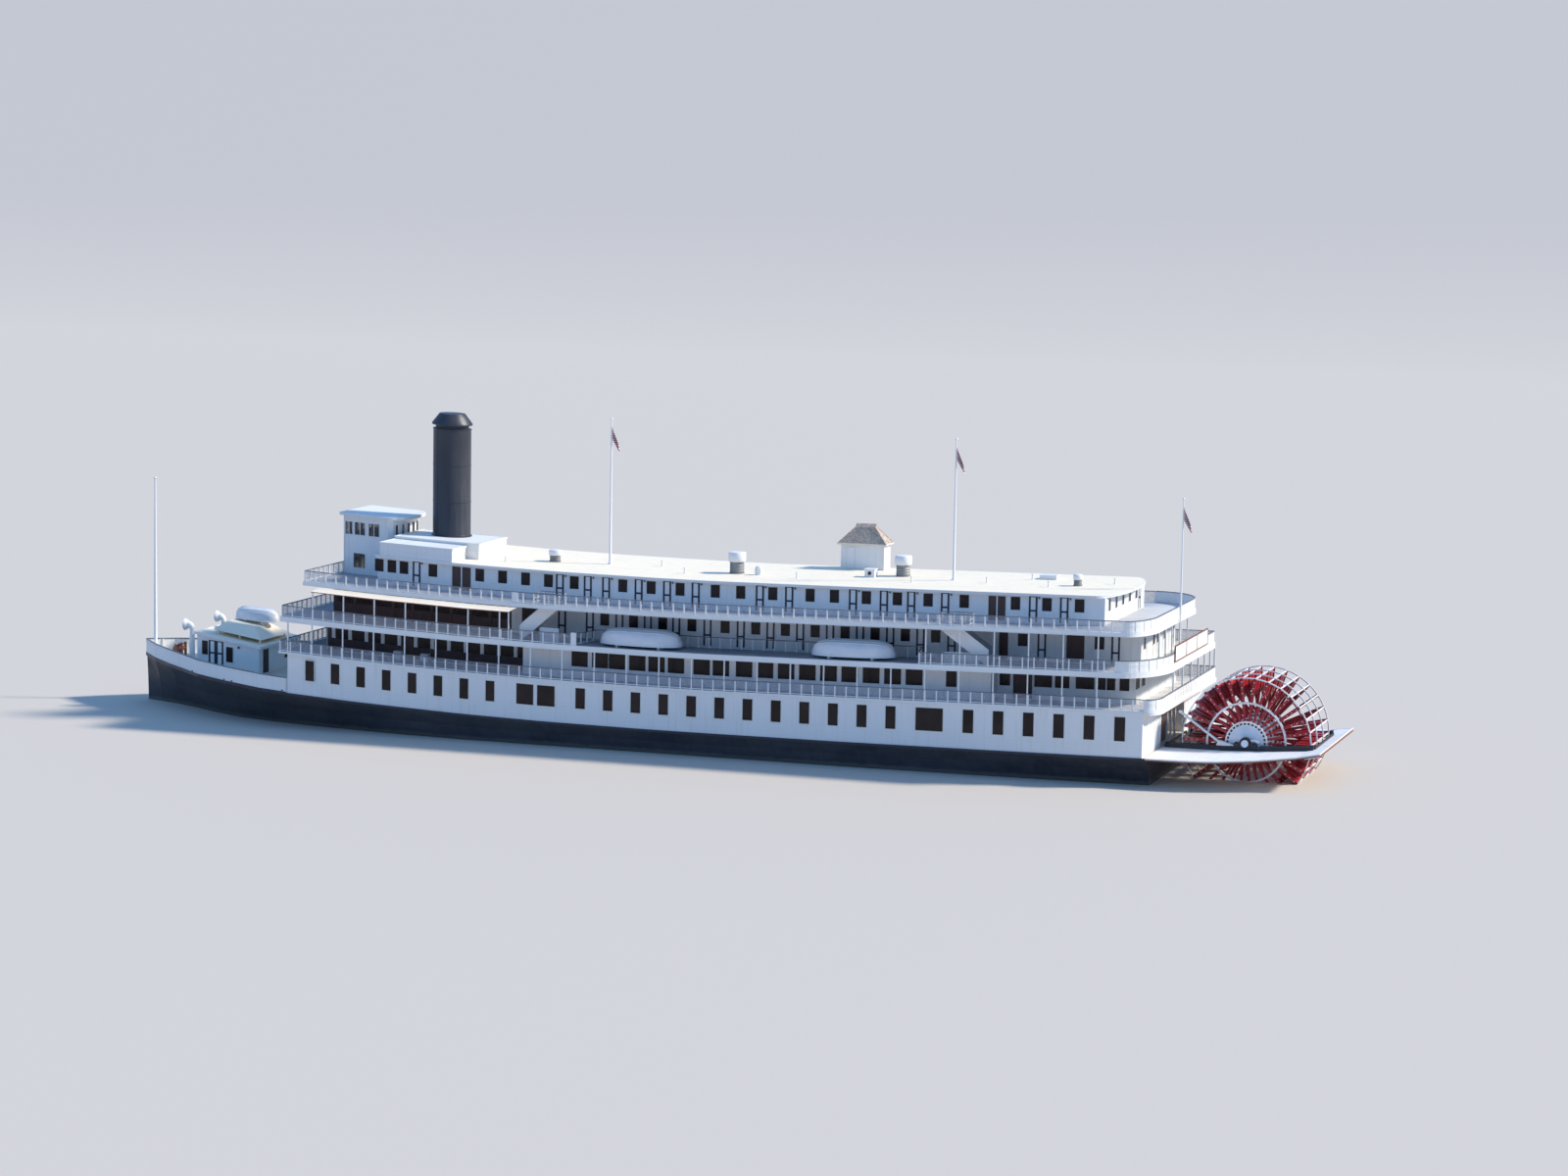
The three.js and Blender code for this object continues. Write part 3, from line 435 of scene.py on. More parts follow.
# Glass over a dark room: brown-black with clouds of reflected light
dark_glass = mottled("dark_window_glass", (0.012, 0.008, 0.009), (0.034, 0.021, 0.020), (5.0,), (0.35, 0.7), None,
                     (0.16, 0.15), Specular_IOR_Level=0.22)
dark_trim = mottled("blue_black_trim", (0.012, 0.015, 0.032), (0.032, 0.036, 0.058), (15.0,), roughness=0.4)
# Grey handrails, worn pale along the top
rail_grey = mottled("handrail_grey", (0.12, 0.13, 0.16), (0.30, 0.32, 0.36), (18.0, 3.0, (0.3, 1.0, 1.0)), (0.4, 0.75),
                    0.6, (0.4, 0.2))
frame_cream = mottled("window_frame_cream", (0.80, 0.77, 0.70), (0.60, 0.55, 0.48), (9.0,), (0.4, 0.8), roughness=0.45)
brown_cream = mottled("eaves_cream", (0.80, 0.72, 0.58), (0.50, 0.40, 0.30), (14.0, 4.0), (0.45, 0.75), roughness=0.6)
louvre_grey = mottled("louvre_grey", (0.20, 0.21, 0.22), (0.42, 0.41, 0.38), (12.0, 4.0, (1.0, 1.0, 0.4)), cover=0.7,
                      roughness=0.6, metallic=0.2)
# Wet joints between the boards of a float
wheel_seam = mottled("float_joint", (0.05, 0.006, 0.01), (0.13, 0.02, 0.025), (20.0,), None, None)
brown_edge = mottled("red_brown_edge", (0.24, 0.085, 0.045), (0.13, 0.06, 0.045), (20.0, 4.0), (0.4, 0.75), 0.5,
                     (0.6, 0.2))
orange_hem = mottled("orange_awning_hem", (0.50, 0.19, 0.07), (0.30, 0.12, 0.06), (20.0, 4.0), (0.4, 0.75), None,
                     roughness=0.75)
# Windlass and bitts in brown paint, with paler brown clouds
brown_gear = mottled("brown_deck_gear", (0.17, 0.06, 0.04), (0.30, 0.17, 0.11), (24.0, 4.0), (0.45, 0.7), 0.7,
                     roughness=0.6, metallic=0.1)
# White canvas over the boats, greyed and creased
canvas_cover = mottled("boat_cover_canvas", (0.80, 0.80, 0.80), (0.50, 0.54, 0.60), (14.0, 4.0, (0.5, 1.5, 1.5)),
                       bump=(0.4, 0.003), roughness=0.8)


def white_paint():
    """House paint: plank seams at a regular height, rain streaks drawn down the walls, and a little grime."""
    f = Finish("house_white_paint")
    streaks = f.noise(9.0, 4.0, (6.0, 6.0, 0.35)).ramp(0.52, 0.78)
    clouds = f.noise(2.3).ramp(0.35, 0.75)
    seam = lines(f.z, 0.024, 0.0009)
    f.paint(Base_Color=f.coats(look("white"), (clouds * 0.35, (0.72, 0.71, 0.68)), (streaks * 0.28, (0.56, 0.50, 0.42)),
                               ((1.0 - seam) * 0.16, (0.42, 0.43, 0.45))), Roughness=0.42 + clouds * 0.18)
    return f.bump(seam, 0.35, 0.0006)


def black_hull():
    """Hull black: faded above, long streaks, a grey-brown scum band just above the waterline and growth below."""
    f = Finish("hull_black_paint")
    streaks = f.noise(5.0, 5.0, (5.0, 5.0, 0.5)).ramp(0.45, 0.8)
    clouds = f.noise(3.0, 5.0, (1.0, 1.0, 2.5)).ramp(0.35, 0.7)
    level = f.z - DRAFT / 1000 + f.noise(11.0, 2.0, (1.0, 1.0, 0.1)) * 0.03 - 0.015
    f.paint(Roughness=0.4 + clouds * 0.3, Base_Color=f.coats(
        look("hull"), (clouds * 0.55, (0.075, 0.075, 0.08)), (streaks * 0.3, (0.10, 0.09, 0.085)),
        ((1.0 - level.ramp(0.018, 0.034)) * 0.7, (0.135, 0.12, 0.095)),
        ((1.0 - level.ramp(-0.004, 0.004)) * 0.85, (0.055, 0.055, 0.035))))
    return f.bump(f.noise(26.0, 4.0), 0.25, 0.001)


def deck_planks():
    """Scrubbed planks along the boat: grey seams at each plank's width, grain drawn out along x, wet patches."""
    f = Finish("deck_planks")
    plank = f.y / 0.013
    seam = joints(plank, 0.40, 0.47)
    grain = f.noise(30.0, 4.0, (0.12, 2.0, 1.0)).ramp(0.3, 0.8)
    base = f.colour(f.cells(plank) * 0.5, (0.70, 0.64, 0.53), (0.56, 0.50, 0.40))
    f.paint(Base_Color=f.coats(base, (grain * 0.35, (0.42, 0.37, 0.30)), (seam * 0.6, (0.16, 0.14, 0.12))),
            Roughness=0.6 + grain * 0.25)
    return f.bump(1.0 - seam, 0.3, 0.0006)


def roof_canvas():
    """Cream roof covering: lengths of canvas lapped across the boat, dull stains where water stood, fine cracks."""
    f = Finish("roof_canvas")
    lap = lines(f.x + 0.03, 0.18, 0.0016)
    stains = f.noise(2.6, 5.0, (0.45, 1.6, 1.0)).ramp(0.50, 0.80)
    dirt = f.noise(16.0, 4.0).ramp(0.5, 0.85)
    f.paint(Base_Color=f.coats(look("roof"), (stains * 0.4, (0.74, 0.66, 0.54)), (dirt * 0.22, (0.46, 0.42, 0.36)),
                               ((1.0 - lap) * 0.28, (0.50, 0.45, 0.38))), Roughness=0.62 + stains * 0.25)
    return f.bump(lap, 0.25, 0.0006)


def deck_coating():
    """Grey non-slip coating: paler where people walk, and pale at the stern as painted sunlight; gritty."""
    f = Finish("grey_deck_coating")
    wear = f.noise(4.0, 4.0, (0.4, 1.2, 1.0)).ramp(0.45, 0.75)
    base = f.colour(wear * 0.6, look("deck"), (0.46, 0.47, 0.48))
    # Aft of about x = -3 m the coating turns pale: painted sunlight on the stern decks.
    f.paint(Base_Color=f.colour(1.0 - f.x.ramp(-3.2, -2.75), base, (0.72, 0.71, 0.69)), Roughness=0.7 + wear * 0.2)
    return f.bump(f.noise(260.0, 2.0), 0.3, 0.0004)


def wheel_red():
    """Red paint on wet wood: dark grain along the board, chips to bare wood, glossy where it is wet."""
    f = Finish("wheel_red_paint")
    grain = f.noise(40.0, 4.0, (1.0, 0.08, 1.0)).ramp(0.35, 0.75)
    chips = f.noise(22.0, 5.0, (1.0, 0.5, 1.0)).ramp(0.62, 0.70)
    wet = f.noise(6.0, 2.0).ramp(0.4, 0.6)
    f.paint(Base_Color=f.coats(look("wheel"), (grain * 0.45, (0.19, 0.006, 0.012)), (chips * 0.7, (0.33, 0.22, 0.18))),
            Roughness=0.5 - wet * 0.25)
    return f.bump(grain, 0.25, 0.0008)


def wheel_white():
    """White paint on the rims, with rust and red rubbed into it in spots."""
    f = Finish("wheel_white_paint")
    rust = f.noise(28.0, 5.0).ramp(0.60, 0.74)
    clouds = f.noise(8.0).ramp(0.35, 0.7)
    return f.paint(Base_Color=f.coats((0.86, 0.84, 0.82), (clouds * 0.4, (0.62, 0.56, 0.54)),
                                      (rust * 0.6, (0.36, 0.10, 0.07))), Roughness=0.4 + clouds * 0.25)


def funnel_grey():
    """Dark grey funnel: faint upright streaks and a paler heat bloom."""
    f = Finish("funnel_grey_paint", metallic=0.2)
    streaks = f.noise(10.0, 4.0, (3.0, 3.0, 0.25)).ramp(0.35, 0.75)
    bloom = f.noise(3.0).ramp(0.4, 0.8)
    return f.paint(Base_Color=f.coats(look("funnel"), (streaks * 0.5, (0.060, 0.064, 0.078)),
                                      (bloom * 0.25, (0.10, 0.095, 0.10))), Roughness=0.36 + streaks * 0.2)


def shaded_brown():
    """Varnished brown wood of the wainscot and the doors, with upright grain."""
    f = Finish("brown_wainscot", 0.55)
    grain = f.noise(36.0, 4.0, (1.5, 1.5, 0.15)).ramp(0.3, 0.75)
    board = lines(f.x, 0.016, 0.0008)
    f.paint(Base_Color=f.coats((0.085, 0.042, 0.034), (grain * 0.6, (0.035, 0.018, 0.016)),
                               ((1.0 - board) * 0.5, (0.01, 0.007, 0.007))))
    return f.bump(board, 0.3, 0.0006)


def fantail_grey():
    """Grey-white fantail planks: seams across the boat, footmarks, and a brown wet edge in clouds."""
    f = Finish("fantail_grey_planks")
    seam = joints(f.x / 0.016, 0.42, 0.48)
    grime = f.noise(7.0, 4.0).ramp(0.42, 0.78)
    base = f.colour(f.cells(f.x / 0.016) * 0.35, (0.90, 0.90, 0.90), (0.78, 0.78, 0.78))
    f.paint(Base_Color=f.coats(base, (grime * 0.4, (0.56, 0.52, 0.46)), (seam * 0.45, (0.25, 0.24, 0.23))),
            Roughness=0.5 + grime * 0.3)
    return f.bump(1.0 - seam, 0.25, 0.0005)


def clear_glass():
    """Clear pilothouse glass: mostly see-through, with a dark tint and smears."""
    f = Finish("clear_window_glass")
    smear = f.noise(9.0, 4.0).ramp(0.4, 0.8)
    return f.paint(Base_Color=(0.03, 0.035, 0.045), Roughness=0.04 + smear * 0.1, Alpha=0.35 + smear * 0.15)


def rail_mesh():
    """Wire mesh in the railings: dark and bright wires crossing at a slant, open between them."""
    f = Finish("rail_wire_mesh", 0.5, 0.3)
    pitch = 0.0042
    first, second = [abs((place % pitch) - pitch / 2) for place in (f.x + f.y + f.z, f.x + f.y - f.z)]
    wire = 1.0 - first.low(second).ramp(0.00045, 0.0007)
    tone = f.noise(30.0, 2.0).ramp(0.3, 0.7)
    return f.paint(Base_Color=f.colour(tone, (0.30, 0.33, 0.40), (0.48, 0.50, 0.55)), Alpha=wire * 0.6)


def shingles():
    """Weathered shingles: rows that step up the slope, each shingle with its own tone."""
    f = Finish("weathered_shingles", 0.9)
    row = f.z / 0.009
    along = (f.x + f.y * 0.7 + row.floor() * 0.0061) / 0.011
    tone = f.node("ShaderNodeTexWhiteNoise", {"noise_dimensions": "2D"},
                  {"Vector": f.node("ShaderNodeCombineXYZ", {}, {0: along.floor(), 1: row.floor(), 2: 0.0})})
    gap = joints(along, 0.40, 0.48).high(1.0 - (row % 1.0).ramp(0.0, 0.16))
    base = f.colour(tone, (0.66, 0.53, 0.42), (0.38, 0.30, 0.24))
    f.paint(Base_Color=f.colour(gap * 0.7, base, (0.12, 0.095, 0.08)))
    return f.bump(1.0 - gap, 0.5, 0.001)


def awning_canvas():
    """Sun-bleached awning canvas: fine weave, seams between widths, faint marks; it glows as painted light."""
    f = Finish("awning_canvas", 0.85)
    weave = ((f.x % 0.0016) / 0.0016) * 0.5 + ((f.y % 0.0016) / 0.0016) * 0.5
    marks = f.noise(7.0, 4.0, (1.0, 0.6, 0.6)).ramp(0.5, 0.8)
    base = f.coats(look("canvas"), (marks * 0.25, (0.74, 0.66, 0.58)),
                   ((1.0 - lines(f.x, 0.151, 0.0014)) * 0.35, (0.56, 0.50, 0.44)))
    # Emission in its own colour is painted light: sunlit brightness for canvas that lies in the texas deck's shade.
    f.paint(Base_Color=base, Emission_Color=base, Emission_Strength=0.72)
    return f.bump(weave, 0.15, 0.0003)


def stripe_cloth():
    """Limp cloth with red and white stripes along it."""
    f = Finish("striped_flag_cloth", 0.85)
    f.paint(Base_Color=f.colour(((f.z / 0.006) % 2.0) > 1.0, (0.78, 0.76, 0.74), (0.45, 0.05, 0.07)))
    return f.bump(f.noise(120.0, 2.0), 0.1, 0.0004)


def floor_grey():
    """Plain pale floor."""
    return Finish("stage_floor", 0.9).paint(Base_Color=(0.60, 0.53, 0.455))


# Settings
def tint(name, description, colour):
    """A setting that holds a colour."""
    return bpy.props.FloatVectorProperty(name=name, description=description, subtype="COLOR", size=3, min=0, max=1,
                                         default=colour)


def length(name, description, metres, low, high):
    """A setting that holds a length and its range."""
    return bpy.props.FloatProperty(name=name, description=description, default=metres, unit="LENGTH", min=low, max=high)


class PaddleBoatLooks(bpy.types.PropertyGroup):
    """Colours of the boat's finishes."""

    white: tint("House white", "Paint of houses, posts and rails", (0.82, 0.82, 0.80))
    hull: tint("Hull black", "Paint of the hull", (0.022, 0.024, 0.034))
    deck: tint("Deck grey", "Coating of the upper decks", (0.30, 0.32, 0.36))
    roof: tint("Roof cream", "Canvas on the roof", (0.96, 0.84, 0.65))
    wheel: tint("Wheel red", "Paint of the floats and arms", (0.40, 0.010, 0.020))
    funnel: tint("Funnel grey", "Paint of the funnel", (0.030, 0.033, 0.042))
    canvas: tint("Awning cream", "Canvas of the awnings", (0.92, 0.88, 0.82))


class PaddleBoatSizes(bpy.types.PropertyGroup):
    """Sizes of the fine pieces, in metres of the model."""

    rail_height: length("Rail height", "Handrail above its deck", 0.078, 0.05, 0.12)
    rail_pitch: length("Rail post pitch", "Distance between rail posts", 0.0772, 0.03, 0.2)
    trim: length("Trim width", "Breadth of window and door frames", 0.006, 0.002, 0.02)
    flag_hoist: length("Flag hoist", "Breadth of the flags along their poles", 0.09, 0.03, 0.2)
    floor_size: length("Floor size", "Side of the stage floor", 160.0, 20, 400)


def size(name):
    """A size of the boat's settings, in millimetres."""
    return getattr(bpy.context.scene.paddle_boat_sizes, name) * 1000


class PieceOperator(bpy.types.Operator):
    """Makes a group of pieces; raises if it can't."""

    bl_options = {"REGISTER", "UNDO"}

    def execute(self, context):
        self.make()
        return {"FINISHED"}


# Stage
CAMERA = {"place": (-8.9037, 25.4709, 4.5033), "focal_px": 4028.774, "width_px": 1600.0, "sensor_mm": 36.0,
          "heading": math.radians(18.244), "dip": math.radians(6.825), "roll": math.radians(0.924)}
# The floor in metres: its bend begins this far behind the boat, and its radius, angle and the slope's length
FLOOR_BEND = {"start": -42.0, "radius": 40.0, "angle": math.radians(20), "slope": 25.0}


class STAGE_OT_camera_light(PieceOperator):
    """Camera at the photograph's place, low sun from astern, soft sky and a plain pale floor at the waterline"""

    bl_idname = "paddleboat.stage"
    bl_label = "Camera, Light and Floor"

    def make(self):
        scene = bpy.context.scene
        camera = bpy.data.objects.new("camera", bpy.data.cameras.new("camera"))
        scene.collection.objects.link(camera)
        scene.camera = camera
        camera.data.sensor_width = CAMERA["sensor_mm"]
        camera.data.lens = CAMERA["focal_px"] / CAMERA["width_px"] * CAMERA["sensor_mm"]
        camera.data.clip_end = 400
        heading, dip, roll = CAMERA["heading"], CAMERA["dip"], CAMERA["roll"]
        ahead = Vector((math.sin(heading) * math.cos(dip), -math.cos(heading) * math.cos(dip), -math.sin(dip)))
        right = ahead.cross(Vector((0, 0, 1))).normalized()
        up = right.cross(ahead)
        axes = (right * math.cos(roll) + up * math.sin(roll), up * math.cos(roll) - right * math.sin(roll), -ahead)
        camera.matrix_world = Matrix.Translation(CAMERA["place"]) @ Matrix(axes).transposed().to_4x4()
        self.light(scene)
        self.floor(scene)

    def floor(self, scene):
        """A level floor that bends up into a gentle slope far behind the boat, so that it fills the picture."""
        half, start, radius, angle, slope = size("floor_size") / 2000, *FLOOR_BEND.values()
        turn = np.linspace(0, angle, 17)
        ends = [radius * math.sin(angle) + slope * math.cos(angle),
                radius * (1 - math.cos(angle)) + slope * math.sin(angle)]
        y = np.concatenate([[half], start - radius * np.sin(turn), [start - ends[0]]])
        z = np.concatenate([[0], radius * (1 - np.cos(turn)), ends[1:]]) + DRAFT / 1000
        points = [(x, b, c) for b, c in zip(y.tolist(), z.tolist()) for x in (-half, half)]
        mesh = bpy.data.meshes.new("stage_floor")
        mesh.from_pydata(points, [], [(2 * k, 2 * k + 1, 2 * k + 3, 2 * k + 2) for k in range(len(y) - 1)])
        mesh.polygons.foreach_set("use_smooth", np.ones(len(y) - 1, bool))
        mesh.materials.append(finish(floor_grey))
        floor = bpy.data.objects.new("stage_floor", mesh)
        scene.collection.objects.link(floor)

    def light(self, scene):
        """A low sun from astern and starboard under a plain blue sky, which fills the shaded side."""
        scene.world = bpy.data.worlds.new("sky")
        scene.world.use_nodes = True
        background = scene.world.node_tree.nodes["Background"]
        background.inputs["Color"].default_value = (0.25, 0.51, 1.0, 1.0)
        background.inputs["Strength"].default_value = 0.78
        sun = bpy.data.objects.new("sun", bpy.data.lights.new("sun", "SUN"))
        sun.data.energy = 4.7
        sun.data.angle = math.radians(6)
        sun.data.color = (1.0, 0.94, 0.84)
        sun.rotation_euler = Vector((-0.78, -0.28, 0.62)).to_track_quat("Z", "Y").to_euler()
        scene.collection.objects.link(sun)
        scene.view_settings.view_transform = "Standard"


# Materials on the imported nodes, by slot, and the nodes that differ from their slot
NODE_FINISHES = {
    "black_hull": black_hull, "cream_deck": deck_planks, "roof_canvas": roof_canvas, "deck_coating": deck_coating,
    "wheel_red": wheel_red, "funnel_grey": funnel_grey, "shingle": shingles, "white_paint": white_paint,
    "awning_canvas": awning_canvas, "gear_brown": brown_gear,
}
NODE_EXCEPTIONS = {
    "wheel_timber_port": black_timber, "wheel_timber_starboard": black_timber, "fantail_port": fantail_grey,
    "fantail_starboard": fantail_grey, "fantail_beam": fantail_grey,
}


class HULL_OT_node_finishes(PieceOperator):
    """Finishes of the hull, decks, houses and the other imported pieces"""

    bl_idname = "paddleboat.node_finishes"
    bl_label = "Finishes of the Built Pieces"

    def make(self):
        slots = {row["node"]: row.get("material_slot", "white_paint") for row in frame["record"]["subparts"]}
        for name, node in frame["nodes"].items():
            node.data.materials.clear()
            node.data.materials.append(finish(NODE_EXCEPTIONS.get(name, NODE_FINISHES[slots[name]])))


# Windows and doors: rows of x0, x1, two depths out of the wall, z0, z1 and a tag for the finish
GLASS, DARK, WHITE, BROWN, CREAM = range(5)


def openings(name, rows):
    """One piece of opening rows."""
    rows = np.array(rows, float)
    palette = [finish(maker) for maker in (dark_glass, dark_trim, smooth_white, shaded_brown, frame_cream)]
    new_piece(name, *box_part(rows[:, :6]), palette, tags=np.repeat(rows[:, 6].astype(int), 6))


def on_side(rows, wall, sign):
    """Rows set on a side wall."""
    rows = np.array(rows, float)
    rows[:, 2:4] = sign * (wall + rows[:, 2:4])
    return rows


def on_end(rows, wall, out):
    """Rows set on a wall that faces aft, with out -1, or forward, with out 1: along the boat becomes across it."""
    rows = np.array(rows, float)
    return np.column_stack([wall + out * rows[:, 2:4], rows[:, :2], rows[:, 4:]])


def framed(x, width, foot, head, glass=GLASS, trim=CREAM, border=None, deep=2.0):
    """A pane and the four strips round it."""
    border = size("trim") if border is None else border
    x0, x1 = x - width / 2, x + width / 2
    strips = ((x0 - border, x0, foot - border, head + border), (x1, x1 + border, foot - border, head + border),
              (x0, x1, head, head + border), (x0, x1, foot - border, foot))
    return [[x0, x1, -1.0, 1.2, foot, head, glass]] + [[a, b, -1.0, 1.2 + deep, c, d, trim] for a, b, c, d in strips]


def door(x, width, foot, head, bar):
    """A door: a dark frame with a light panel above its bar and another below."""
    edge, rail = 12.5, 6.0
    x0, x1 = x - width / 2, x + width / 2
    bars = ((x0, x0 + edge, foot, head), (x1 - edge, x1, foot, head), (x0 + edge, x1 - edge, head - rail, head),
            (x0 + edge, x1 - edge, bar - rail, bar + rail))
    return [[x0, x1, -1.0, 1.0, foot, head, WHITE]] + [[a, b, -1.0, 2.6, c, d, DARK] for a, b, c, d in bars]


def wide(width, places):
    """Places with a width for each."""
    return [(x, width) for x in places]


def at_each(maker, places, *shape, **options):
    """Rows of an opening at each of the places."""
    return [row for x, width in places for row in maker(x, width, *shape, **options)]


THIN_DARK = {"trim": DARK, "border": 2.0}
MAIN_WINDOWS = [*wide(65.0, even(6444, 192, 8)), (4845, 124.0), (4692, 128.0), *wide(69.0, even(4443, 198.6, 12)),
                (1994, 186.0), *wide(72.0, even(1730, 203.0, 6))]
TEXAS_WINDOWS = wide(60.0, [
    6067, 5972, 5881, 5664, 5315, 5146, 4976, 4808, 4619, 4266, 4061, 3853, 3601, 3420, 3193, 2930, 2760, 2537, 2322,
    2110, 1862, 1513, 1300, 1080])
TEXAS_DOORS = wide(58.0, [5786, 4724, 4520, 4387, 4151, 3946, 3741, 3284, 3077, 2630, 2415, 2226, 1993, 1393, 1183])
TEXAS_DOUBLE_DOORS = [(5450, 139), (1638, 117)]
OBSERVATION_WINDOWS = wide(60.0, [
    4417, 4208, 3996, 3786, 3548, 3330, 3120, 2910, 2700, 2490, 2280, 2070, 1860, 1474, 955])
OBSERVATION_DOORS = wide(58.0, [
    4729, 4525, 4310, 4104, 3899, 3674, 3436, 3225, 3015, 2805, 2595, 2385, 2175, 1960, 1344, 846])
OBSERVATION_BROWN_DOORS = [(1116, 121), (1604, 62)]
SALOON_WINDOWS = [*wide(113.0, (4508, 4360, 4238, 4091, 3953, 3814, 3631, 3494)),
                  *wide(112.0, even(3330, 148.0, 9)), (1891, 68.0)]
SALOON_AFT_WINDOWS = [(1566, 66.0), (1306, 115.0), (1178, 93.0), (1024, 121.0), (914, 53.0), (850, 52.0), (760, 60.0)]


class MAIN_OT_windows(PieceOperator):
    """Tall dark windows along the main deck house, two square ones and a wide one"""

    bl_idname = "paddleboat.main_windows"
    bl_label = "Main Deck Windows"

    def make(self):
        rows = at_each(framed, MAIN_WINDOWS, 274.0, 414.0, border=3.0, deep=1.2)
        rows += [[590, 6190, 0, 1.2, 237, 240, WHITE]]
        for sign, side in SIDES:
            openings(f"main_windows_{side}", on_side(rows, MAIN_WALL, sign))


class UPPER_OT_openings(PieceOperator):
    """Windows, cabin doors and brown double doors of the texas and observation houses"""

    bl_idname = "paddleboat.upper_openings"
    bl_label = "Upper Deck Windows and Doors"

    def make(self):
        texas = at_each(framed, TEXAS_WINDOWS, 1045.0, 1127.0, **THIN_DARK, deep=1.0)
        texas += at_each(door, TEXAS_DOORS, 966.0, 1138.0, 1042.0)
        texas += [[x - 46, x - 38, 0, 9, 1122, 1134, DARK] for x, _ in TEXAS_DOORS]
        texas += at_each(framed, TEXAS_DOUBLE_DOORS, 966.0, 1130.0, glass=BROWN, border=5.0)
        texas += [[x - 4, x + 4, 0, 3.5, 966, 1130, WHITE] for x, _ in TEXAS_DOUBLE_DOORS]
        observation = at_each(framed, OBSERVATION_WINDOWS, 799.0, 877.0, **THIN_DARK, deep=1.0)
        observation += at_each(door, OBSERVATION_DOORS, 706.0, 890.0, 778.0)
        observation += at_each(framed, OBSERVATION_BROWN_DOORS, 706.0, 884.0, glass=BROWN, border=5.0)
        observation += self.lounge()
        for sign, side in SIDES:
            openings(f"texas_openings_{side}", on_side(texas, TEXAS_WALL, sign))
            openings(f"observation_openings_{side}", on_side(observation, OBSERVATION_WALL, sign))

    def lounge(self):
        """The brown forward lounge under the awning: dark wood, a row of wide panes, a pale panel and a dark door."""
        rows = [[4900, 6440, -1, 1.5, 702, 930, BROWN], [5110, 6440, 0, 5, 780, 785, BROWN],
                [5024, 5100, 0, 4, 702, 915, WHITE], [4925, 5010, 0, 3, 702, 905, GLASS]]
        for x in even(6420, 145.0, 9):
            rows += [[x - 8, x + 8, 0, 4, 702, 930, BROWN], [x - 132, x - 13, 0, 2.5, 790, 905, GLASS]]
        return rows


class SALOON_OT_openings(PieceOperator):
    """Large saloon windows with pilasters, the brown forward lounge and the aft windows and doors"""

    bl_idname = "paddleboat.saloon_openings"
    bl_label = "Saloon Windows and Doors"

    def make(self):
        middle = at_each(framed, SALOON_WINDOWS, 540.0, 654.0, **THIN_DARK, deep=1.2)
        ends = at_each(framed, SALOON_AFT_WINDOWS, 545.0, 652.0, **THIN_DARK, deep=1.2)
        ends += framed(1444, 130, 462, 652, glass=BROWN, border=5.0) + self.lounge()
        for sign, side in SIDES:
            openings(f"saloon_openings_{side}",
                     np.concatenate([on_side(middle, SALOON_WALL, sign), on_side(ends, SALOON_RECESS, sign)]))

    def lounge(self):
        """Forward saloon: brown wainscot, tall panes split by pale pilasters, a brown door and two pale benches."""
        rows = [[4930, 6445, 0, 2.5, 459, 655, BROWN], [5750, 5868, 1, 5, 460, 650, BROWN]]
        for x in even(6397, 124.0, 12):
            rows += [[x - 13, x + 13, 1, 6, 545, 655, WHITE], [x - 109, x - 15, 1, 3.5, 545, 648, GLASS]]
        return rows + [[x - 28, x + 28, 9, 61, 457.5, 512, WHITE] for x in (5892, 5690)]


# Decks and railings: the two numbers of a side are its stern corner's length and its breadth
DECKS = {
    "saloon": {"top": SALOON_DECK, "depth": 12.0, "half": 884.0, "aft": 460.0, "fore": 6680.0,
               "port": (90.0, 150.0), "starboard": (30.0, 30.0)},
    "observation": {"top": OBSERVATION_DECK, "depth": OBSERVATION_DEPTH, "half": 874.0, "aft": 472.0, "fore": 6670.0,
                    "port": (278.0, 450.0), "starboard": (30.0, 30.0)},
    "texas": {"top": TEXAS_DECK, "depth": TEXAS_DEPTH, "half": 870.0, "aft": 545.0, "fore": 6500.0,
              "port": (160.0, 320.0), "starboard": (350.0, 380.0)},
}
CEILINGS = {"saloon": OBSERVATION_DECK - OBSERVATION_DEPTH, "observation": TEXAS_DECK - TEXAS_DEPTH}
POST_PITCH = 231.5
POSTS = [6613.0, *even(6430.0, POST_PITCH, 26)]
STERN_POSTS = {"saloon": (474.0, 5, (420, 147, -110, -330, -526, -704, -850)),
               "observation": (560.0, 4.5, (490, 300, 110, -170, -355))}
# The lifeboats' stretch of the observation deck: its ends, its railing's distance out and the length of a jog
LIFEBOATS_AFT, LIFEBOATS_FORE, LIFEBOATS_RAIL, LIFEBOATS_TURN = 2080.0, 4500.0, 594.0, 60.0
AWNING = {"aft": 4970.0, "fore": 6440.0, "inner": 735.0, "outer": 876.0, "top": 907.0, "fall": 12.0, "thickness": 5.5}
RAIL_INSET = 10.0


def stern_corner(deck, side):
    """A deck's aft corner, a quarter of an ellipse from its straight stern forward to its side."""
    radius, span = deck[side]
    return quarter(deck["aft"], deck["half"], radius, span, 15) * [1, 1 if side == "port" else -1]


def stern_path(name):
    """A deck's edge round the stern from the starboard side to the port side; its right is inboard."""
    return np.concatenate([stern_corner(DECKS[name], "starboard")[::-1], stern_corner(DECKS[name], "port")])


def deck_outline(name):
    """A deck's whole edge, anticlockwise from above, so that its right is outboard."""
    deck = DECKS[name]
    fore = [(deck["fore"], -deck["half"]), (deck["fore"], deck["half"])]
    return fine(np.concatenate([stern_corner(deck, "starboard"), fore, stern_corner(deck, "port")[::-1]]))


def roof_outline():
    """The roof's edge, anticlockwise from above: a broad curve aft and small round corners forward."""
    return fine(both_sides(np.concatenate([quarter(830, 590, 150, 560, 22), quarter(6088, 590, -30, 30, 6)[::-1]])))


def bow_path():
    """The main deck's edge round the bow, from the starboard side to the port side; its right is outboard."""
    return both_sides(fine(BOW_EDGE[1:], 60))


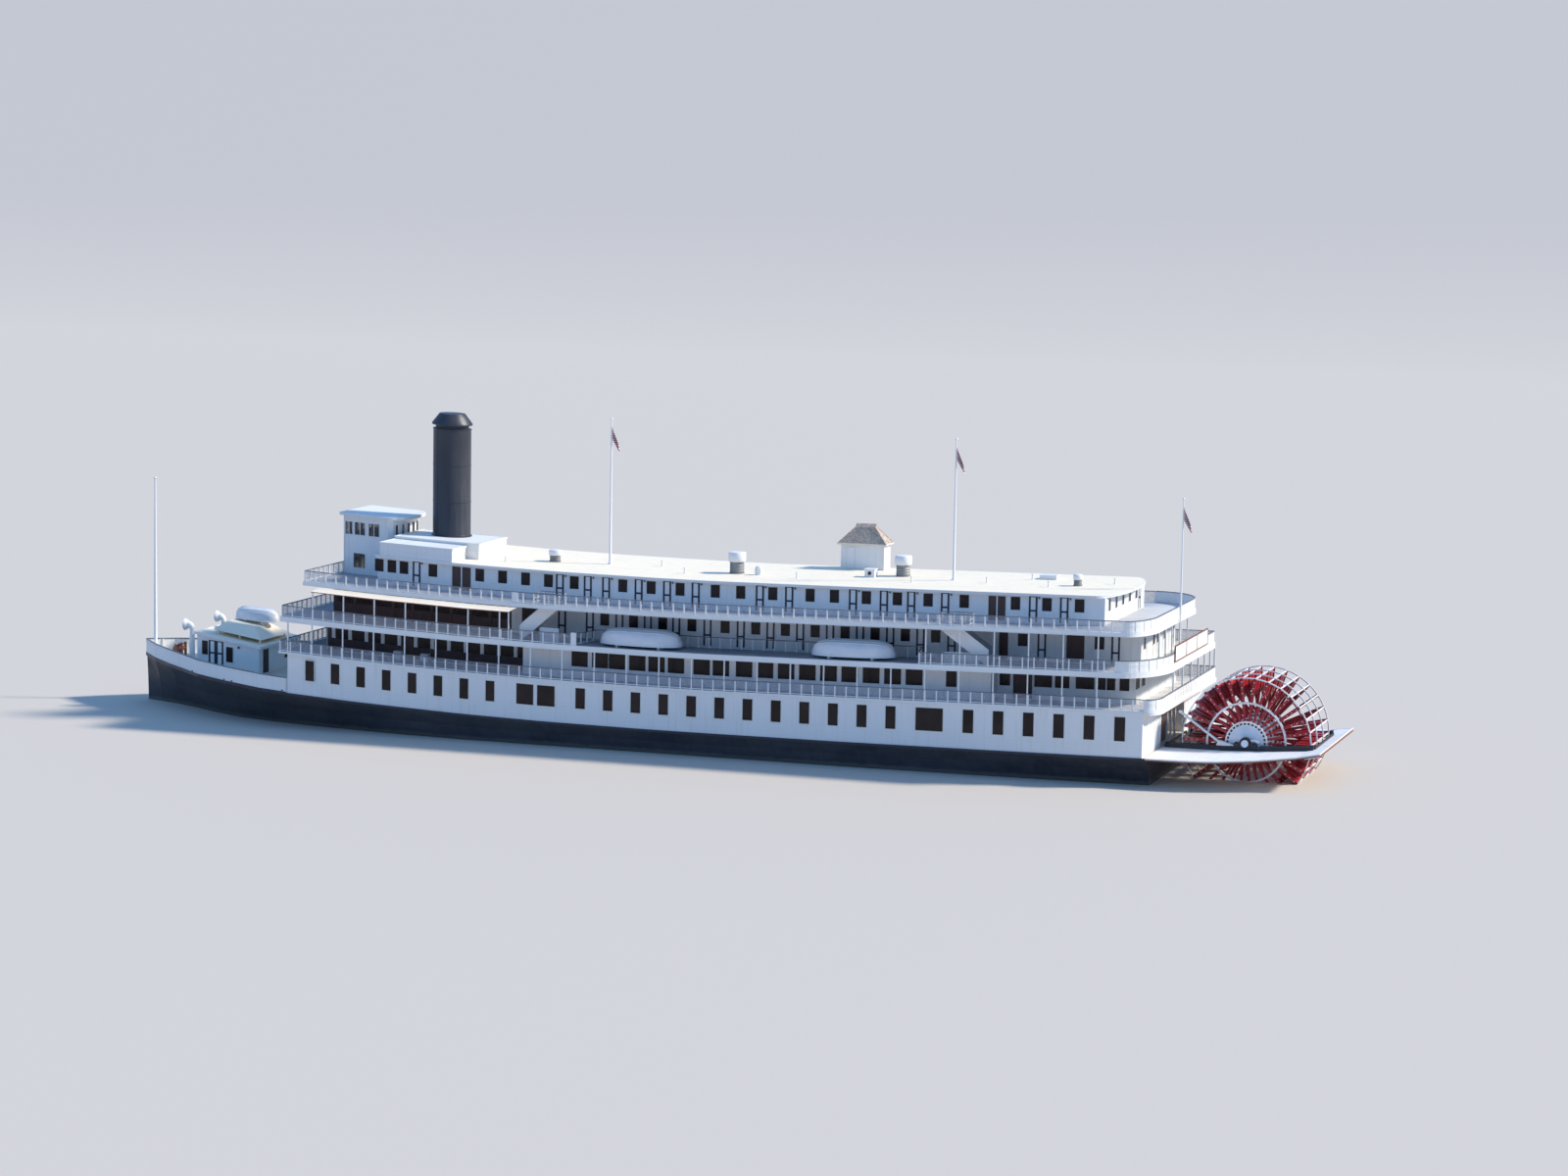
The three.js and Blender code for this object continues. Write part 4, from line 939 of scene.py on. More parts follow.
def rail_path(name, side):
    """A side railing's centreline from aft forward, which jogs inboard past the lifeboats on the observation deck."""
    deck = DECKS[name]
    y, inner = deck["half"] - RAIL_INSET, LIFEBOATS_RAIL - RAIL_INSET
    points = [(deck["aft"] + deck[side][0] + 6, y)]
    if name == "observation":
        points += [(LIFEBOATS_AFT, y), (LIFEBOATS_AFT + LIFEBOATS_TURN, inner),
                   (LIFEBOATS_FORE - LIFEBOATS_TURN, inner), (LIFEBOATS_FORE, y)]
    return fine([*points, (deck["fore"] - RAIL_INSET, y)]) * [1, 1 if side == "port" else -1]


def railing_groups(path, deck, height, meshed=True):
    """Skins of a railing: handrail, lower rail and posts, and mid rail where it has no mesh."""
    groups = [(strip(path, -4.2, 4.2, height - 5, height, deck), rail_grey),
              (strip(path, -3, 3, 5, 10, deck), smooth_white),
              (uprights(spread(path, size("rail_pitch")), 4.2, deck + GAP, deck + height - 5), smooth_white)]
    if not meshed:
        groups.append((strip(path, -2, 2, height * 0.5 - 2, height * 0.5 + 2, deck), smooth_white))
    return groups


def mesh_panel(name, path, deck, height):
    """The wire mesh of a railing, a thin sheet between its rails."""
    new_piece(name, *strip(path, -0.35, 0.35, 10, height - 5, deck), [finish(rail_mesh)])


class RAILS_OT_sides(PieceOperator):
    """Railings along the sides and across the fore ends, with posts up to the deck above"""

    bl_idname = "paddleboat.side_rails"
    bl_label = "Railings"

    def make(self):
        height = size("rail_height")
        for name, deck in DECKS.items():
            for sign, side in SIDES:
                path = rail_path(name, side)
                groups = railing_groups(path, deck["top"], height)
                if name != "texas":
                    groups.append((self.deck_posts(name, deck, sign), smooth_white))
                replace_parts(assembly(f"{name}_side_rail_{side}", groups), f"{name}_rail_{side}")
                for part, stretch in enumerate(self.meshed(name, path)):
                    mesh_panel(f"{name}_mesh_{side}_{part}", stretch, deck["top"], height)
            x, y = deck["fore"] - RAIL_INSET, deck["half"] - 15
            path = np.array([(x, -y), (x, y)])
            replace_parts(assembly(f"{name}_front_rail", railing_groups(path, deck["top"], height)), f"{name}_rail_fore")
            mesh_panel(f"{name}_mesh_fore", path, deck["top"], height)

    def meshed(self, name, path):
        """The stretches of a railing that carry mesh: not those inboard of the lifeboats."""
        if name != "observation":
            return [path]
        return [path[path[:, 0] <= LIFEBOATS_AFT + 1], path[path[:, 0] >= LIFEBOATS_FORE - 1]]

    def deck_posts(self, name, deck, sign):
        """Slender posts up to the deck above or, on the observation deck forward, up to the awning."""
        y, foot, head = sign * (deck["half"] - RAIL_INSET), deck["top"] + GAP, CEILINGS[name] - GAP
        if name == "saloon":
            return uprights([(x, y) for x in POSTS if x > 680], 4, foot, head)
        under = AWNING["top"] - AWNING["fall"] - AWNING["thickness"] - GAP
        carried = [x for x in (*POSTS, AWNING["aft"] + 5) if AWNING["aft"] < x < AWNING["fore"]]
        return merged([uprights([(x, y) for x in carried], 4, foot, under),
                       uprights([(x, y) for x in POSTS if 800 < x < LIFEBOATS_AFT - 40], 4, foot, head)])


class DECKS_OT_trim(PieceOperator):
    """White fascias round the decks and the roof, and a dark strake round the edge of the main deck"""

    bl_idname = "paddleboat.deck_trim"
    bl_label = "Deck Edges"

    def make(self):
        for name, deck in DECKS.items():
            low, edge = -deck["depth"] - 0.8, deck_outline(name)
            assembly(f"{name}_fascia", [(strip(edge, -12, 1.5, low, 0.4, deck["top"], True), smooth_white),
                                        (strip(edge, 0, 3.0, low, low + 4, deck["top"], True), smooth_white)])
        apron = strip(stern_path("saloon"), -1.5, 8.2, -26.5, -12.6, SALOON_DECK)
        assembly("saloon_apron_face", [(apron, smooth_white)])
        edge = roof_outline()
        assembly("roof_edge", [(strip(edge, -14, 2, -17, -1, ROOF, True), smooth_white),
                               (strip(edge, 0, 4.5, -5, 0.8, ROOF, True), smooth_white)])
        side = fine([(545, HALF_BEAM), *BOW_EDGE])
        groups = [(strip(edge, -2, 1.7, -15.5, 0.6, MAIN_DECK), dark_trim) for edge in (side * [1, -1], side[::-1])]
        assembly("guard_strake", groups, slot="black_hull")


BOARD = {"aft": 470.5, "fore": 479.0, "port": 378.0, "starboard": -598.0, "low": 725.0, "high": 820.0, "edge": 7.0}


class STERN_OT_rails(PieceOperator):
    """Boarded railings round the stern, their posts, and the blank three-panel board on the observation deck"""

    bl_idname = "paddleboat.stern_rails"
    bl_label = "Stern Railings"

    def make(self):
        height = size("rail_height")
        for name, deck in DECKS.items():
            top, path = deck["top"], stern_path(name)
            groups = [(strip(path, 8, 12.5, GAP, height - 3, top), smooth_white),
                      (strip(path, 5.5, 15, height - 5, height + 0.5, top), rail_grey),
                      (strip(path, 6, 14, 4, 10, top), smooth_white),
                      (strip(path, 6.6, 8.2, height * 0.55, height * 0.55 + 5, top), smooth_white)]
            posts = spread(path + RAIL_INSET * mitres(path)[:, :2], size("rail_pitch"))
            groups.append((uprights(posts, 4.0, top + GAP, top + height - 4), smooth_white))
            if name in STERN_POSTS:
                x, half, places = STERN_POSTS[name]
                posts = uprights([(x, y) for y in places], half, top + GAP, CEILINGS[name] - GAP)
                groups.append((posts, smooth_white))
            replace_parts(assembly(f"{name}_stern_rail", groups), f"{name}_rail_aft")
        self.board(*BOARD.values())

    def board(self, aft, fore, port, starboard, low, high, edge):
        """Three white panels in a brown frame, outside the stern railing."""
        bars = [[aft, fore + 1, starboard - edge, port + edge, z, z + edge] for z in (low - edge, high)]
        for i in range(4):
            y = starboard - edge / 2 + (port - starboard + edge) * i / 3
            bars.append([aft, fore + 1, y - edge / 2, y + edge / 2, low, high])
        panels = box_part([[aft + 2, fore, starboard, port, low, high]])
        assembly("stern_board", [(panels, smooth_white), (box_part(bars), brown_edge)])


# End walls: name, way out, x, deck, windows, places of doors; heights of sill, head and lintel over the deck
END_WALLS = (
    ("texas_aft", -1, 910.0, TEXAS_DECK, wide(54, (440, 250, 60, -130, -320)), (-420,), 88, 168, 180),
    ("observation_aft", -1, 675.0, OBSERVATION_DECK, wide(54, (410, 143, 31, -175)), (-420,), 100, 176, 180),
    ("saloon_aft", -1, 680.0, SALOON_DECK, ((566, 120), (397, 95), (-291, 260), (-557, 170)), (), 99, 190, 180),
    ("texas_fore", 1, 6080.0, TEXAS_DECK, wide(60, (505, -505)), (400, -400), 88, 168, 180),
    ("observation_fore", 1, 6440.0, OBSERVATION_DECK, wide(90, (410, 285, 160, -410, -285, -160)), (31, -31),
     92, 176, 184),
    ("saloon_fore", 1, 6450.0, SALOON_DECK, wide(95, (500, 365, 230, -500, -365, -230)), (31, -31), 92, 180, 184),
    ("main_fore", 1, 6620.0, MAIN_DECK, wide(72, (600, 430, -600, -430)), (31, -31), 100, 200, 190),
)


class STERN_OT_walls(PieceOperator):
    """Windows and doors in the aft and fore walls of the houses, and the panels beside the stern porch"""

    bl_idname = "paddleboat.aft_walls"
    bl_label = "End Walls"

    def make(self):
        for name, out, wall, deck, windows, doors, sill, head, lintel in END_WALLS:
            frames = {"border": 4.0} if out < 0 else THIN_DARK
            rows = at_each(framed, windows, deck + sill, deck + head, **frames)
            rows += at_each(door, wide(60, doors), deck + 6, deck + lintel, deck + 84)
            openings(f"{name}_openings", on_end(rows, wall, out))
        rows = [[200, 348, -1, 1.5, 198, 440, BROWN], [356, 374, -1, 4, 198, 440, WHITE],
                [-880, -862, -1, 4, 198, 440, WHITE]]
        rows += [[y - 2, y + 2, -1, 2.5, 198, 440, WHITE] for y in (*range(-850, -360, 42), *range(400, 880, 60))]
        openings("main_aft_panels", on_end(rows, 565, -1))
        inside = [[y, y + 96, -1, 2, 205, 425, BROWN] for y in (-300, -190, 95, 205)]
        openings("porch_back_wall", on_end(inside + [[-60, 60, -1, 2, 205, 400, GLASS]], 700, -1))


# Paddle wheel and stern gear
WHEEL_Z, TIMBER_MIDDLE = 255.0, 346.0
WHEEL_FRAMES = (-314.0, -105.0, 105.0, 314.0)
WHEEL_TURNS = np.arange(30) * 2 * math.pi / 30
WHEEL = {"rim": 429.0, "hub": 115.0, "inner_ring": (131.0, 141.0), "middle_ring": (254.0, 267.0),
         "floats": (310.0, 418.0), "float_half": 316.0, "shaft": 20.0, "shaft_half": 362.0}


class WHEEL_OT_paddle_wheel(PieceOperator):
    """Paddle wheel on its shaft: hubs, red arms and floats, white rims and rings"""

    bl_idname = "paddleboat.paddle_wheel"
    bl_label = "Paddle Wheel"

    def make(self):
        radius, half = WHEEL["shaft"], WHEEL["shaft_half"]
        shaft = turned([(0, -half), (radius, -half), (radius, half), (0, half)], axis="y")
        groups = [(shaft, dark_steel, True), *self.floats()]
        for y in WHEEL_FRAMES:
            groups += [(spun(self.arm(y), WHEEL_TURNS), wheel_red), *self.rings(y)]
        groups = [(moved(group[0], (0, 0, WHEEL_Z)), *group[1:]) for group in groups]
        wheel = assembly("wheel_frames_and_floats", groups, body="wheel", slot="wheel_red", sheer=False)
        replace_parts(wheel, "paddle_wheel")

    def arm(self, y):
        """A flat arm from the inner ring to the rim that widens outwards."""
        inner, outer = WHEEL["inner_ring"][0] + 2, WHEEL["rim"] - 6
        return capped([[(r, y - 4, -w), (r, y + 4, -w), (r, y + 4, w), (r, y - 4, w)]
                       for r, w in ((inner, 7.0), (WHEEL["floats"][0], 9.5), (outer, 9.5))])

    def rings(self, y):
        """A frame's hub with its ring of dark sockets, the white rim and, on the outer frames, a middle ring."""
        hub, rim = WHEEL["hub"], WHEEL["rim"]
        disc = [(0, -10), (44, -10), (48, -7), (hub - 8, -6), (hub, -4), (hub, 4), (hub - 8, 6), (48, 7), (44, 10),
                (0, 10)]
        collar = [(0, -16), (30, -16), (32, -13), (32, 13), (30, 16), (0, 16)]
        groups = [(turned(disc, 60, (0, y, 0), "y"), hub_grey, True),
                  (turned(collar, 32, (0, y, 0), "y"), dark_steel, True),
                  (ring(hub - 4, WHEEL["inner_ring"][1], y - 5.5, y + 5.5, 60, "y"), wheel_white),
                  (spun(box_part([block(123.5, y, 6, 7, -8.2, 8.2)]), WHEEL_TURNS), dark_steel),
                  (ring(rim - 8, rim, y - 4, y + 4, 90, "y"), wheel_white)]
        if abs(y) > 200:
            out = math.copysign(1.0, y)
            bolts = box_part([[r - 3, r + 3, y + 4 * out, y + 7 * out, -3, 3] for r in (325, 362, 400)])
            groups += [(ring(*WHEEL["middle_ring"], *sorted([y - 4.6 * out, y + 6 * out]), 90, "y"), wheel_white),
                       (spun(bolts, WHEEL_TURNS), wheel_white)]
        return groups

    def floats(self):
        """Boards across the wheel, each with a white bar along its outer edge and battens on its face."""
        (low, high), half = WHEEL["floats"], WHEEL["float_half"]
        parts = (([[low, high - 0.5, -half, half, -3, 3]], wheel_red),
                 ([[high - 1, high + 6.5, -half - 2, half + 2, -4, 4]], wheel_white),
                 ([block(r, 0, 1, half - 4, -3.7, 3.7) for r in (346, 382)], wheel_seam),
                 ([[low + 8, high - 8, y - 5, y + 5, -6.5, 6.5] for y in (-209.5, 0.0, 209.5)], wheel_red))
        return [(spun(box_part(rows), WHEEL_TURNS), maker) for rows, maker in parts]


class STERN_OT_gear(PieceOperator):
    """Bearings, braces, the fantail's edges, the well's curb and the deck stands at the stern"""

    bl_idname = "paddleboat.stern_gear"
    bl_label = "Stern Gear"

    def make(self):
        for sign, side in SIDES:
            groups = [((part[0] * [1, sign, 1], part[1][:, ::int(sign)]), *how)
                      for part, *how in self.bearing() + self.brace()]
            assembly(f"wheel_bearing_{side}", groups, slot="black_hull", sheer=False)
            edge = fine([(-536, 602), (-400, 640), (-130, 765), (90, 845), (320, 880), (545, 884)], 60) * [1, sign]
            edge = edge if sign < 0 else edge[::-1]
            assembly(f"fantail_edge_{side}", [(strip(edge, -3, 1.6, -15, -6, MAIN_DECK), brown_edge),
                                              (strip(edge, -10, 2.2, -6, 2.2, MAIN_DECK), fantail_grey)])
        beam, well = [-602, 602], [-329, 329]
        groups = [([-538, -530, *beam, MAIN_DECK - 22, MAIN_DECK - 6], brown_edge),
                  ([-538.5, -528, *beam, MAIN_DECK - 6, MAIN_DECK + 2.2], fantail_grey),
                  ([-459, -449, *well, MAIN_DECK + GAP, MAIN_DECK + 16], black_timber),
                  ([536, 544, *well, MAIN_DECK + GAP, MAIN_DECK + 12], black_timber)]
        assembly("wheel_well_curb", [(box_part(row), maker) for row, maker in groups])
        stands = [row for y in (100, -220) for row in (block(470, y, 6, 6, MAIN_DECK + GAP, MAIN_DECK + 140),
                                                       block(470, y, 6, 44, MAIN_DECK + 128, MAIN_DECK + 142))]
        assembly("stern_stands", [(box_part(stands), smooth_white)])

    def bearing(self):
        """Round cap over the shaft, pale as painted highlight, its strap, feet with bolts on the timber, and a bent
        pipe.
        """
        y, foot = TIMBER_MIDDLE, MAIN_DECK + 84
        # The cap's pale hub grey is a painted highlight on the dark steel bearing.
        cap = turned([(0, 17), (16, 17), (19, 20), (24, 21), (24, 27), (0, 27)], 24, (0, y, WHEEL_Z), "y")
        strap = moved(ring(34.4, 40, y - 11, y + 11, 28, "y"), (0, 0, WHEEL_Z))
        feet = box_part([block(x, y, 18, 16.5, foot - 19, foot) for x in (-58, 58)])
        bolts = several(turned([(0, 0), (4, 0), (4, 7), (0, 7)], 6),
                        [(x, y + dy, foot) for x in (-64, -52, 52, 64) for dy in (-9, 9)])
        pipe = tube([(x, y + 12, z) for x, z in ((-92, foot - 22), (-92, WHEEL_Z + 8), (-84, WHEEL_Z + 18),
                                                 (-60, WHEEL_Z + 22), (-38, WHEEL_Z + 22))], 5.0, 10)
        return [(cap, hub_grey, True), (strap, dark_steel, True), (feet, dark_steel), (bolts, dark_steel),
                (pipe, smooth_white, True)]

    def brace(self):
        """The white diagonal brace from the saloon deck down to a shoe on the timber."""
        y = TIMBER_MIDDLE
        foot = MAIN_DECK + float(lift(135, 0)) + 32
        bar = tube([(433, y, 434), (140, y, foot - 2)], 8.6, 12)
        shoe = capped([[(x, y - w, foot), (x, y + w, foot), (x, y + w, foot + h), (x, y - w, foot + h)]
                       for x, w, h in ((60, 9, 2), (110, 13, 16), (172, 13, 34), (190, 9, 8))])
        head = box_part([[420, 446, y - 12, y + 12, 428, 444]])
        return [(bar, wheel_white, True), (shoe, wheel_white), (head, smooth_white)]


# Boats, ventilators and other pieces on the decks
def upturned_hull(place, length, half, height):
    """An upturned boat: over u from stern to stem, half breadth shrinks as the root of 1-|u|^3 and height as the root
    of 1-|u|^5; each section is a superellipse of power 3 from gunwale over the keel to gunwale."""
    u, v = np.linspace(-0.985, 0.985, 29)[:, None], np.linspace(0, math.pi, 21)[None]
    y = half * np.sqrt(1 - abs(u) ** 3) * np.sign(np.cos(v)) * abs(np.cos(v)) ** (2 / 3)
    z = height * np.sqrt(1 - abs(u) ** 5) * np.sin(v).clip(0) ** (2 / 3)
    return moved(capped(np.stack([np.broadcast_to(u * length / 2, y.shape), y, z], -1)), place)


def boat_groups(place, length, half, height):
    """An upturned boat with its keel, strakes and gunwale: white bars along it, at y and z over u."""
    u = np.linspace(-0.93, 0.93, 25)
    tall, wide = height * np.sqrt(1 - abs(u) ** 5), half * np.sqrt(1 - abs(u) ** 3)
    bars = [(0 * u, tall + 1, 3.0)]
    for sign in (1, -1):
        bars.append((sign * (wide + 0.5), 0 * u + 4, 4.0))
        bars += [(sign * share * wide, tall * (1 - share ** 3) ** (1 / 3) + 0.8, 2.2) for share in (0.45, 0.72)]
    return [(upturned_hull(place, length, half, height), canvas_cover, True)] + [
        (tube(np.column_stack([u * length / 2, y, z]) + place, radius, 6), smooth_white) for y, z, radius in bars]


class BOATS_OT_upturned(PieceOperator):
    """Upturned lifeboats on their chocks, and the small boat on the forecastle house"""

    bl_idname = "paddleboat.boats"
    bl_label = "Upturned Boats"

    def make(self):
        for sign, side in SIDES:
            for x, end in ((2562.0, "aft"), (4060.0, "fore")):
                y, deck = sign * 740, OBSERVATION_DECK
                rows = [row for along in (-150, 150) for row in (block(x + along, y, 8, 80, deck + GAP, deck + 26),
                                                                 block(x + along, y, 5, 96, deck + 26, deck + 30))]
                groups = boat_groups((x, y, deck + 18), 584, 105, 106) + [(box_part(rows), smooth_white)]
                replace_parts(assembly(f"upturned_lifeboat_{side}_{end}", groups), f"lifeboat_{side}_{end}")
        chocks = [block(x, -60, 6, 50, float(np.interp(x, [7100, 7590], [371, 421])) + 85.3, 506) for x in (7240, 7380)]
        groups = boat_groups((7300, -60, 497), 330, 70, 90) + [(box_part(chocks), smooth_white)]
        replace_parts(assembly("small_upturned_boat", groups), "forecastle_boat")


class DECK_OT_cowls(PieceOperator):
    """Cowl ventilators: a pipe bent forward into a flared mouth, brown inside"""

    bl_idname = "paddleboat.cowls"
    bl_label = "Cowl Ventilators"

    def make(self):
        for sign, side in SIDES:
            x, y, bend, radius = 7660.0, sign * 250.0, 428, 27
            path = [(x, y, MAIN_DECK + GAP), (x, y, 330), (x, y, bend)]
            path += [(x + radius * (1 - math.cos(t)), y, bend + radius * math.sin(t))
                     for t in np.linspace(0, math.pi / 2, 12)]
            pipe = tube(path, np.concatenate([[20, 18.5, 17], np.linspace(17.5, 27, 12)]), 24)
            centre = (x + radius, y, bend + radius)
            mouth = turned([(0, 2), (26, 2), (33, 10), (39, 20), (42, 29), (41, 31), (38, 29), (33, 19), (20, 12),
                            (0, 10)], 28, centre, "x")
            inside = turned([(0, 10.5), (19, 12.5), (32.4, 19.6), (37.6, 29.2), (36.6, 29.4), (30, 20), (19, 14),
                             (0, 12)], 28, centre, "x")
            collar = several(ring(17.6, 20, -3, 3, 24), [(x, y, 300), (x, y, 425)])
            groups = [(pipe, smooth_white, True), (mouth, smooth_white, True), (inside, brown_edge, True),
                      (collar, smooth_white, True)]
            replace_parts(assembly(f"cowl_ventilator_{side}", groups), f"cowl_{side}")


ROOF_FANS = (("roof_fan_fore", 4950, 80, 85, 45), ("roof_fan_middle", 3610, 90, 150, 60),
             ("roof_fan_aft", 2490, -130, 145, 58), ("roof_vent_aft", 1220, 60, 80, 32))
ROOF_PIPES = ((5230, 300), (4210, -60), (3930, 260), (3130, 240), (2330, 210), (1840, 90), (1600, -200), (1390, 180),
              (1010, -120))


class ROOF_OT_fittings(PieceOperator):
    """Fan housings and small vents on the roof, and the roof house's eaves and ridges"""

    bl_idname = "paddleboat.roof_fittings"
    bl_label = "Roof Fittings"

    def make(self):
        for name, x, y, height, radius in ROOF_FANS:
            neck, split = 0.78 * radius, 0.56 * height
            louvres = [(neck + (4 if k % 2 else 0), 8 + (split - 10) * k / 8) for k in range(9)]
            body = turned([(0, GAP), (neck + 6, GAP), (neck + 6, 6), *louvres, (neck, split), (0, split)], 36)
            drum = turned([(0, split - 2), (radius - 3, split - 2), (radius, split + 2), (radius, height - 9),
                           (radius - 4, height - 3), (radius * 0.6, height), (0, height)], 36)
            groups = [(moved(body, (x, y, ROOF)), louvre_grey), (moved(drum, (x, y, ROOF)), smooth_white, True)]
            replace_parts(assembly(f"{name}_housing", groups), name)
        self.small_vents()
        self.roof_house()

    def small_vents(self):
        """A faceted hood, a box with a dark port, a skylight, and a row of thin vent pipes."""
        hood = turned([(0, GAP), (24, GAP), (30, 34), (22, 58), (0, 66)], 8, (3440, 130, ROOF))
        crates = box_part([[2650, 2720, -55, 15, ROOF + GAP, ROOF + 52], [2645, 2725, -60, 20, ROOF + 52, ROOF + 57],
                           [1440, 1560, -330, -230, ROOF + GAP, ROOF + 30]])
        port = turned([(0, 0), (13, 0), (13, 2), (0, 2)], 20, (2685, 15, ROOF + 28), "y")
        pipe = turned([(0, GAP), (9, GAP), (9, 3), (5, 4), (5, 34), (9, 35), (9, 40), (0, 41)], 14)
        pipes = several(pipe, [(x, y, ROOF) for x, y in ROOF_PIPES])
        assembly("small_roof_vents", [(hood, smooth_white), (crates, smooth_white), (port, dark_steel),
                                      (pipes, smooth_white, True)])

    def roof_house(self):
        """Cream eaves under the shingles, caps over the hips and the ridge, corner boards and a door."""
        eaves = [(2698, -587), (3052, -587), (3052, -408), (2698, -408)]
        low, high = 1337.5, 1448.0
        corners = [(2700, -585), (3050, -585), (3050, -410), (2700, -410)]
        ridge = [(2800, -520), (2940, -520), (2940, -475), (2800, -475)]
        caps = [tube([(*a, low), (*b, high)], 4.0, 6) for a, b in zip(corners, ridge)]
        caps.append(tube([(2798, -497, high), (2942, -497, high)], 24.0, 4))
        boards = [[x0, x0 + 10, y0, y0 + 10, ROOF + 0.5, 1332] for x0 in (2717.5, 3020.5) for y0 in (-577.5, -437.5)]
        entry = on_side(framed(2960, 52, ROOF + 6, ROOF + 150, border=5), -430, 1)[:, :6]
        assembly("roof_house_trim", [
            (strip(eaves, -6, 1.5, -7, 2, 1337, True), brown_cream), (merged(caps), shingles),
            (box_part(boards), smooth_white), (box_part(entry[0]), smooth_white), (box_part(entry[1:]), frame_cream)])


class FUNNEL_OT_stack(PieceOperator):
    """Funnel with its base flange, bands and flared cap, and the mouldings of its casing"""

    bl_idname = "paddleboat.funnel"
    bl_label = "Funnel and Casing"

    def make(self):
        place = (5764.0, 0, 0)
        stack = turned([(0, 1268.3), (141, 1268.3), (143, 1275), (135, 1279), (133, 1284), (133, 2014), (136, 2017),
                        (136, 2022), (118, 2024), (116, 2044), (140, 2048), (143, 2052), (142, 2060), (94, 2122),
                        (90, 2127), (0, 2127)], 72, place)
        bands = moved(merged([ring(132.5, 134.6, z, z + 7, 72) for z in (1510, 1765)]), place)
        seam, faces = box_part([132.8, 134.2, -1.2, 1.2, 1284, 2014])
        seam = moved((seam @ np.array(Matrix.Rotation(-1.1, 3, "Z")), faces), place)
        groups = [(stack, funnel_grey, True), (bands, funnel_grey, True), (seam, funnel_grey)]
        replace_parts(assembly("funnel_stack", groups, slot="funnel_grey"), "funnel")
        parts = []
        for x0, y0, x1, y1, top in ((5510, -180, 6050, 588, 1250), (5420, -170, 6050, 330, 1268)):
            edge = [(x0, y0), (x1, y0), (x1, y1), (x0, y1)]
            parts += [(strip(edge, -5, 5, -9, 1.5, top, True), smooth_white),
                      (strip(edge, -1, 2.5, -60, -52, top, True), smooth_white)]
        assembly("casing_mouldings", parts)


POLES = (("jackstaff", 8080.0, MAIN_DECK, 1455.0, 13.0), ("foremast", 4572.0, ROOF, 2175.0, 9.0),
         ("mainmast", 2096.0, ROOF, 2118.0, 9.0), ("stern_staff", 531.0, OBSERVATION_DECK, 1762.0, 7.5))


class POLES_OT_masts(PieceOperator):
    """Tapered poles with round trucks, foot collars and limp striped flags"""

    bl_idname = "paddleboat.poles"
    bl_label = "Masts and Flags"

    def make(self):
        for name, x, low, high, radius in POLES:
            tip = radius * 0.5
            profile = [(0, low + GAP), (radius + 7, low + GAP), (radius + 7, low + 8), (radius + 1, low + 12),
                       (radius, low + 14), (tip, high - 14), (tip + 3, high - 12), (tip + 6, high - 6),
                       (tip + 3, high - 1), (0, high)]
            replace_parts(assembly(f"{name}_pole", [(turned(profile, 20, (x, 0, 0)), smooth_white, True)]), name)
            if name != "jackstaff":
                self.flag(f"{name}_flag", name, x - tip - 1, high - 60)

    def flag(self, name, pole, x, top):
        """Limp cloth: fly and hoist run down at a slope while pleats swing it across, wider away from the pole."""
        hoist, fly = size("flag_hoist"), size("flag_hoist") * 1.5
        s, t = np.meshgrid(np.linspace(0, 1, 41), np.linspace(0, 1, 25), indexing="ij")
        swing = 7.0 * np.minimum(1, t * 5) * np.sin(s * 18.0 + t * 2.0)
        points = np.stack([x - 0.36 * fly * t - 0.10 * hoist * s * t, swing,
                           top - s * hoist * (1 - 0.35 * t) - 0.88 * fly * t], -1)
        piece = new_piece(name, points.reshape(-1, 3), grid_faces(41, 25), [finish(stripe_cloth)], slot="awning_canvas",
                          smooth=True)
        hoist / 1000
        fly / 1000


class AWNING_OT_canvas(PieceOperator):
    """Canvas awnings on battens, with short hangers from the texas deck along their inner edge"""

    bl_idname = "paddleboat.awnings"
    bl_label = "Awnings"

    def make(self):
        a = AWNING
        wide, long = a["outer"] - a["inner"], a["fore"] - a["aft"]
        bays = np.array([x for x in POSTS if a["aft"] < x < a["fore"]] + [a["aft"] + 5])
        x, share = np.linspace(a["aft"], a["fore"], 121)[:, None], np.linspace(0, 1, 13)[None]
        nearest = np.min(abs(x[..., None] - bays), -1)
        sag = 2.6 * np.sin(share * math.pi) * np.sin(np.clip(nearest / POST_PITCH, 0, 0.5) * math.pi)
        z = a["top"] + 0.6 - a["fall"] * share - sag
        for sign, side in SIDES:
            points = np.stack(np.broadcast_arrays(x, sign * (a["inner"] + wide * share), z), -1)
            cloth = new_piece(f"awning_cloth_{side}", points, grid_faces(121, 13)[:, ::-int(sign)],
                              [finish(awning_canvas)], slot="awning_canvas", smooth=True)
            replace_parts(cloth, f"awning_{side}")
            batten = assembly(f"awning_batten_{side}", self.battens(sign, x[:, 0], bays), slot="awning_canvas")

    def battens(self, sign, x, bays):
        """An orange-brown hem outside, a pale one inside, bars across under the canvas, and hangers to the deck."""
        inner, outer, top, low = AWNING["inner"], AWNING["outer"], AWNING["top"], AWNING["top"] - AWNING["fall"]
        edges = [np.column_stack([x, np.full(len(x), sign * y)]) for y in (outer - 2, inner + 2)]
        bars = [tube([(b, sign * inner, top - 3), (b, sign * outer, low - 3)], 2.0, 6) for b in bays]
        hangers = [[b - 1.5, b + 1.5, sign * (inner + 1), sign * (inner + 4), top - 2, CEILINGS["observation"] - 0.2]
                   for b in bays]
        return [(strip(edges[0], -2, 2, -5.4, 0.4, low), orange_hem),
                (strip(edges[1], -2, 2, -5.2, 0.2, top), smooth_white),
                (merged(bars), smooth_white), (box_part(hangers), smooth_white)]


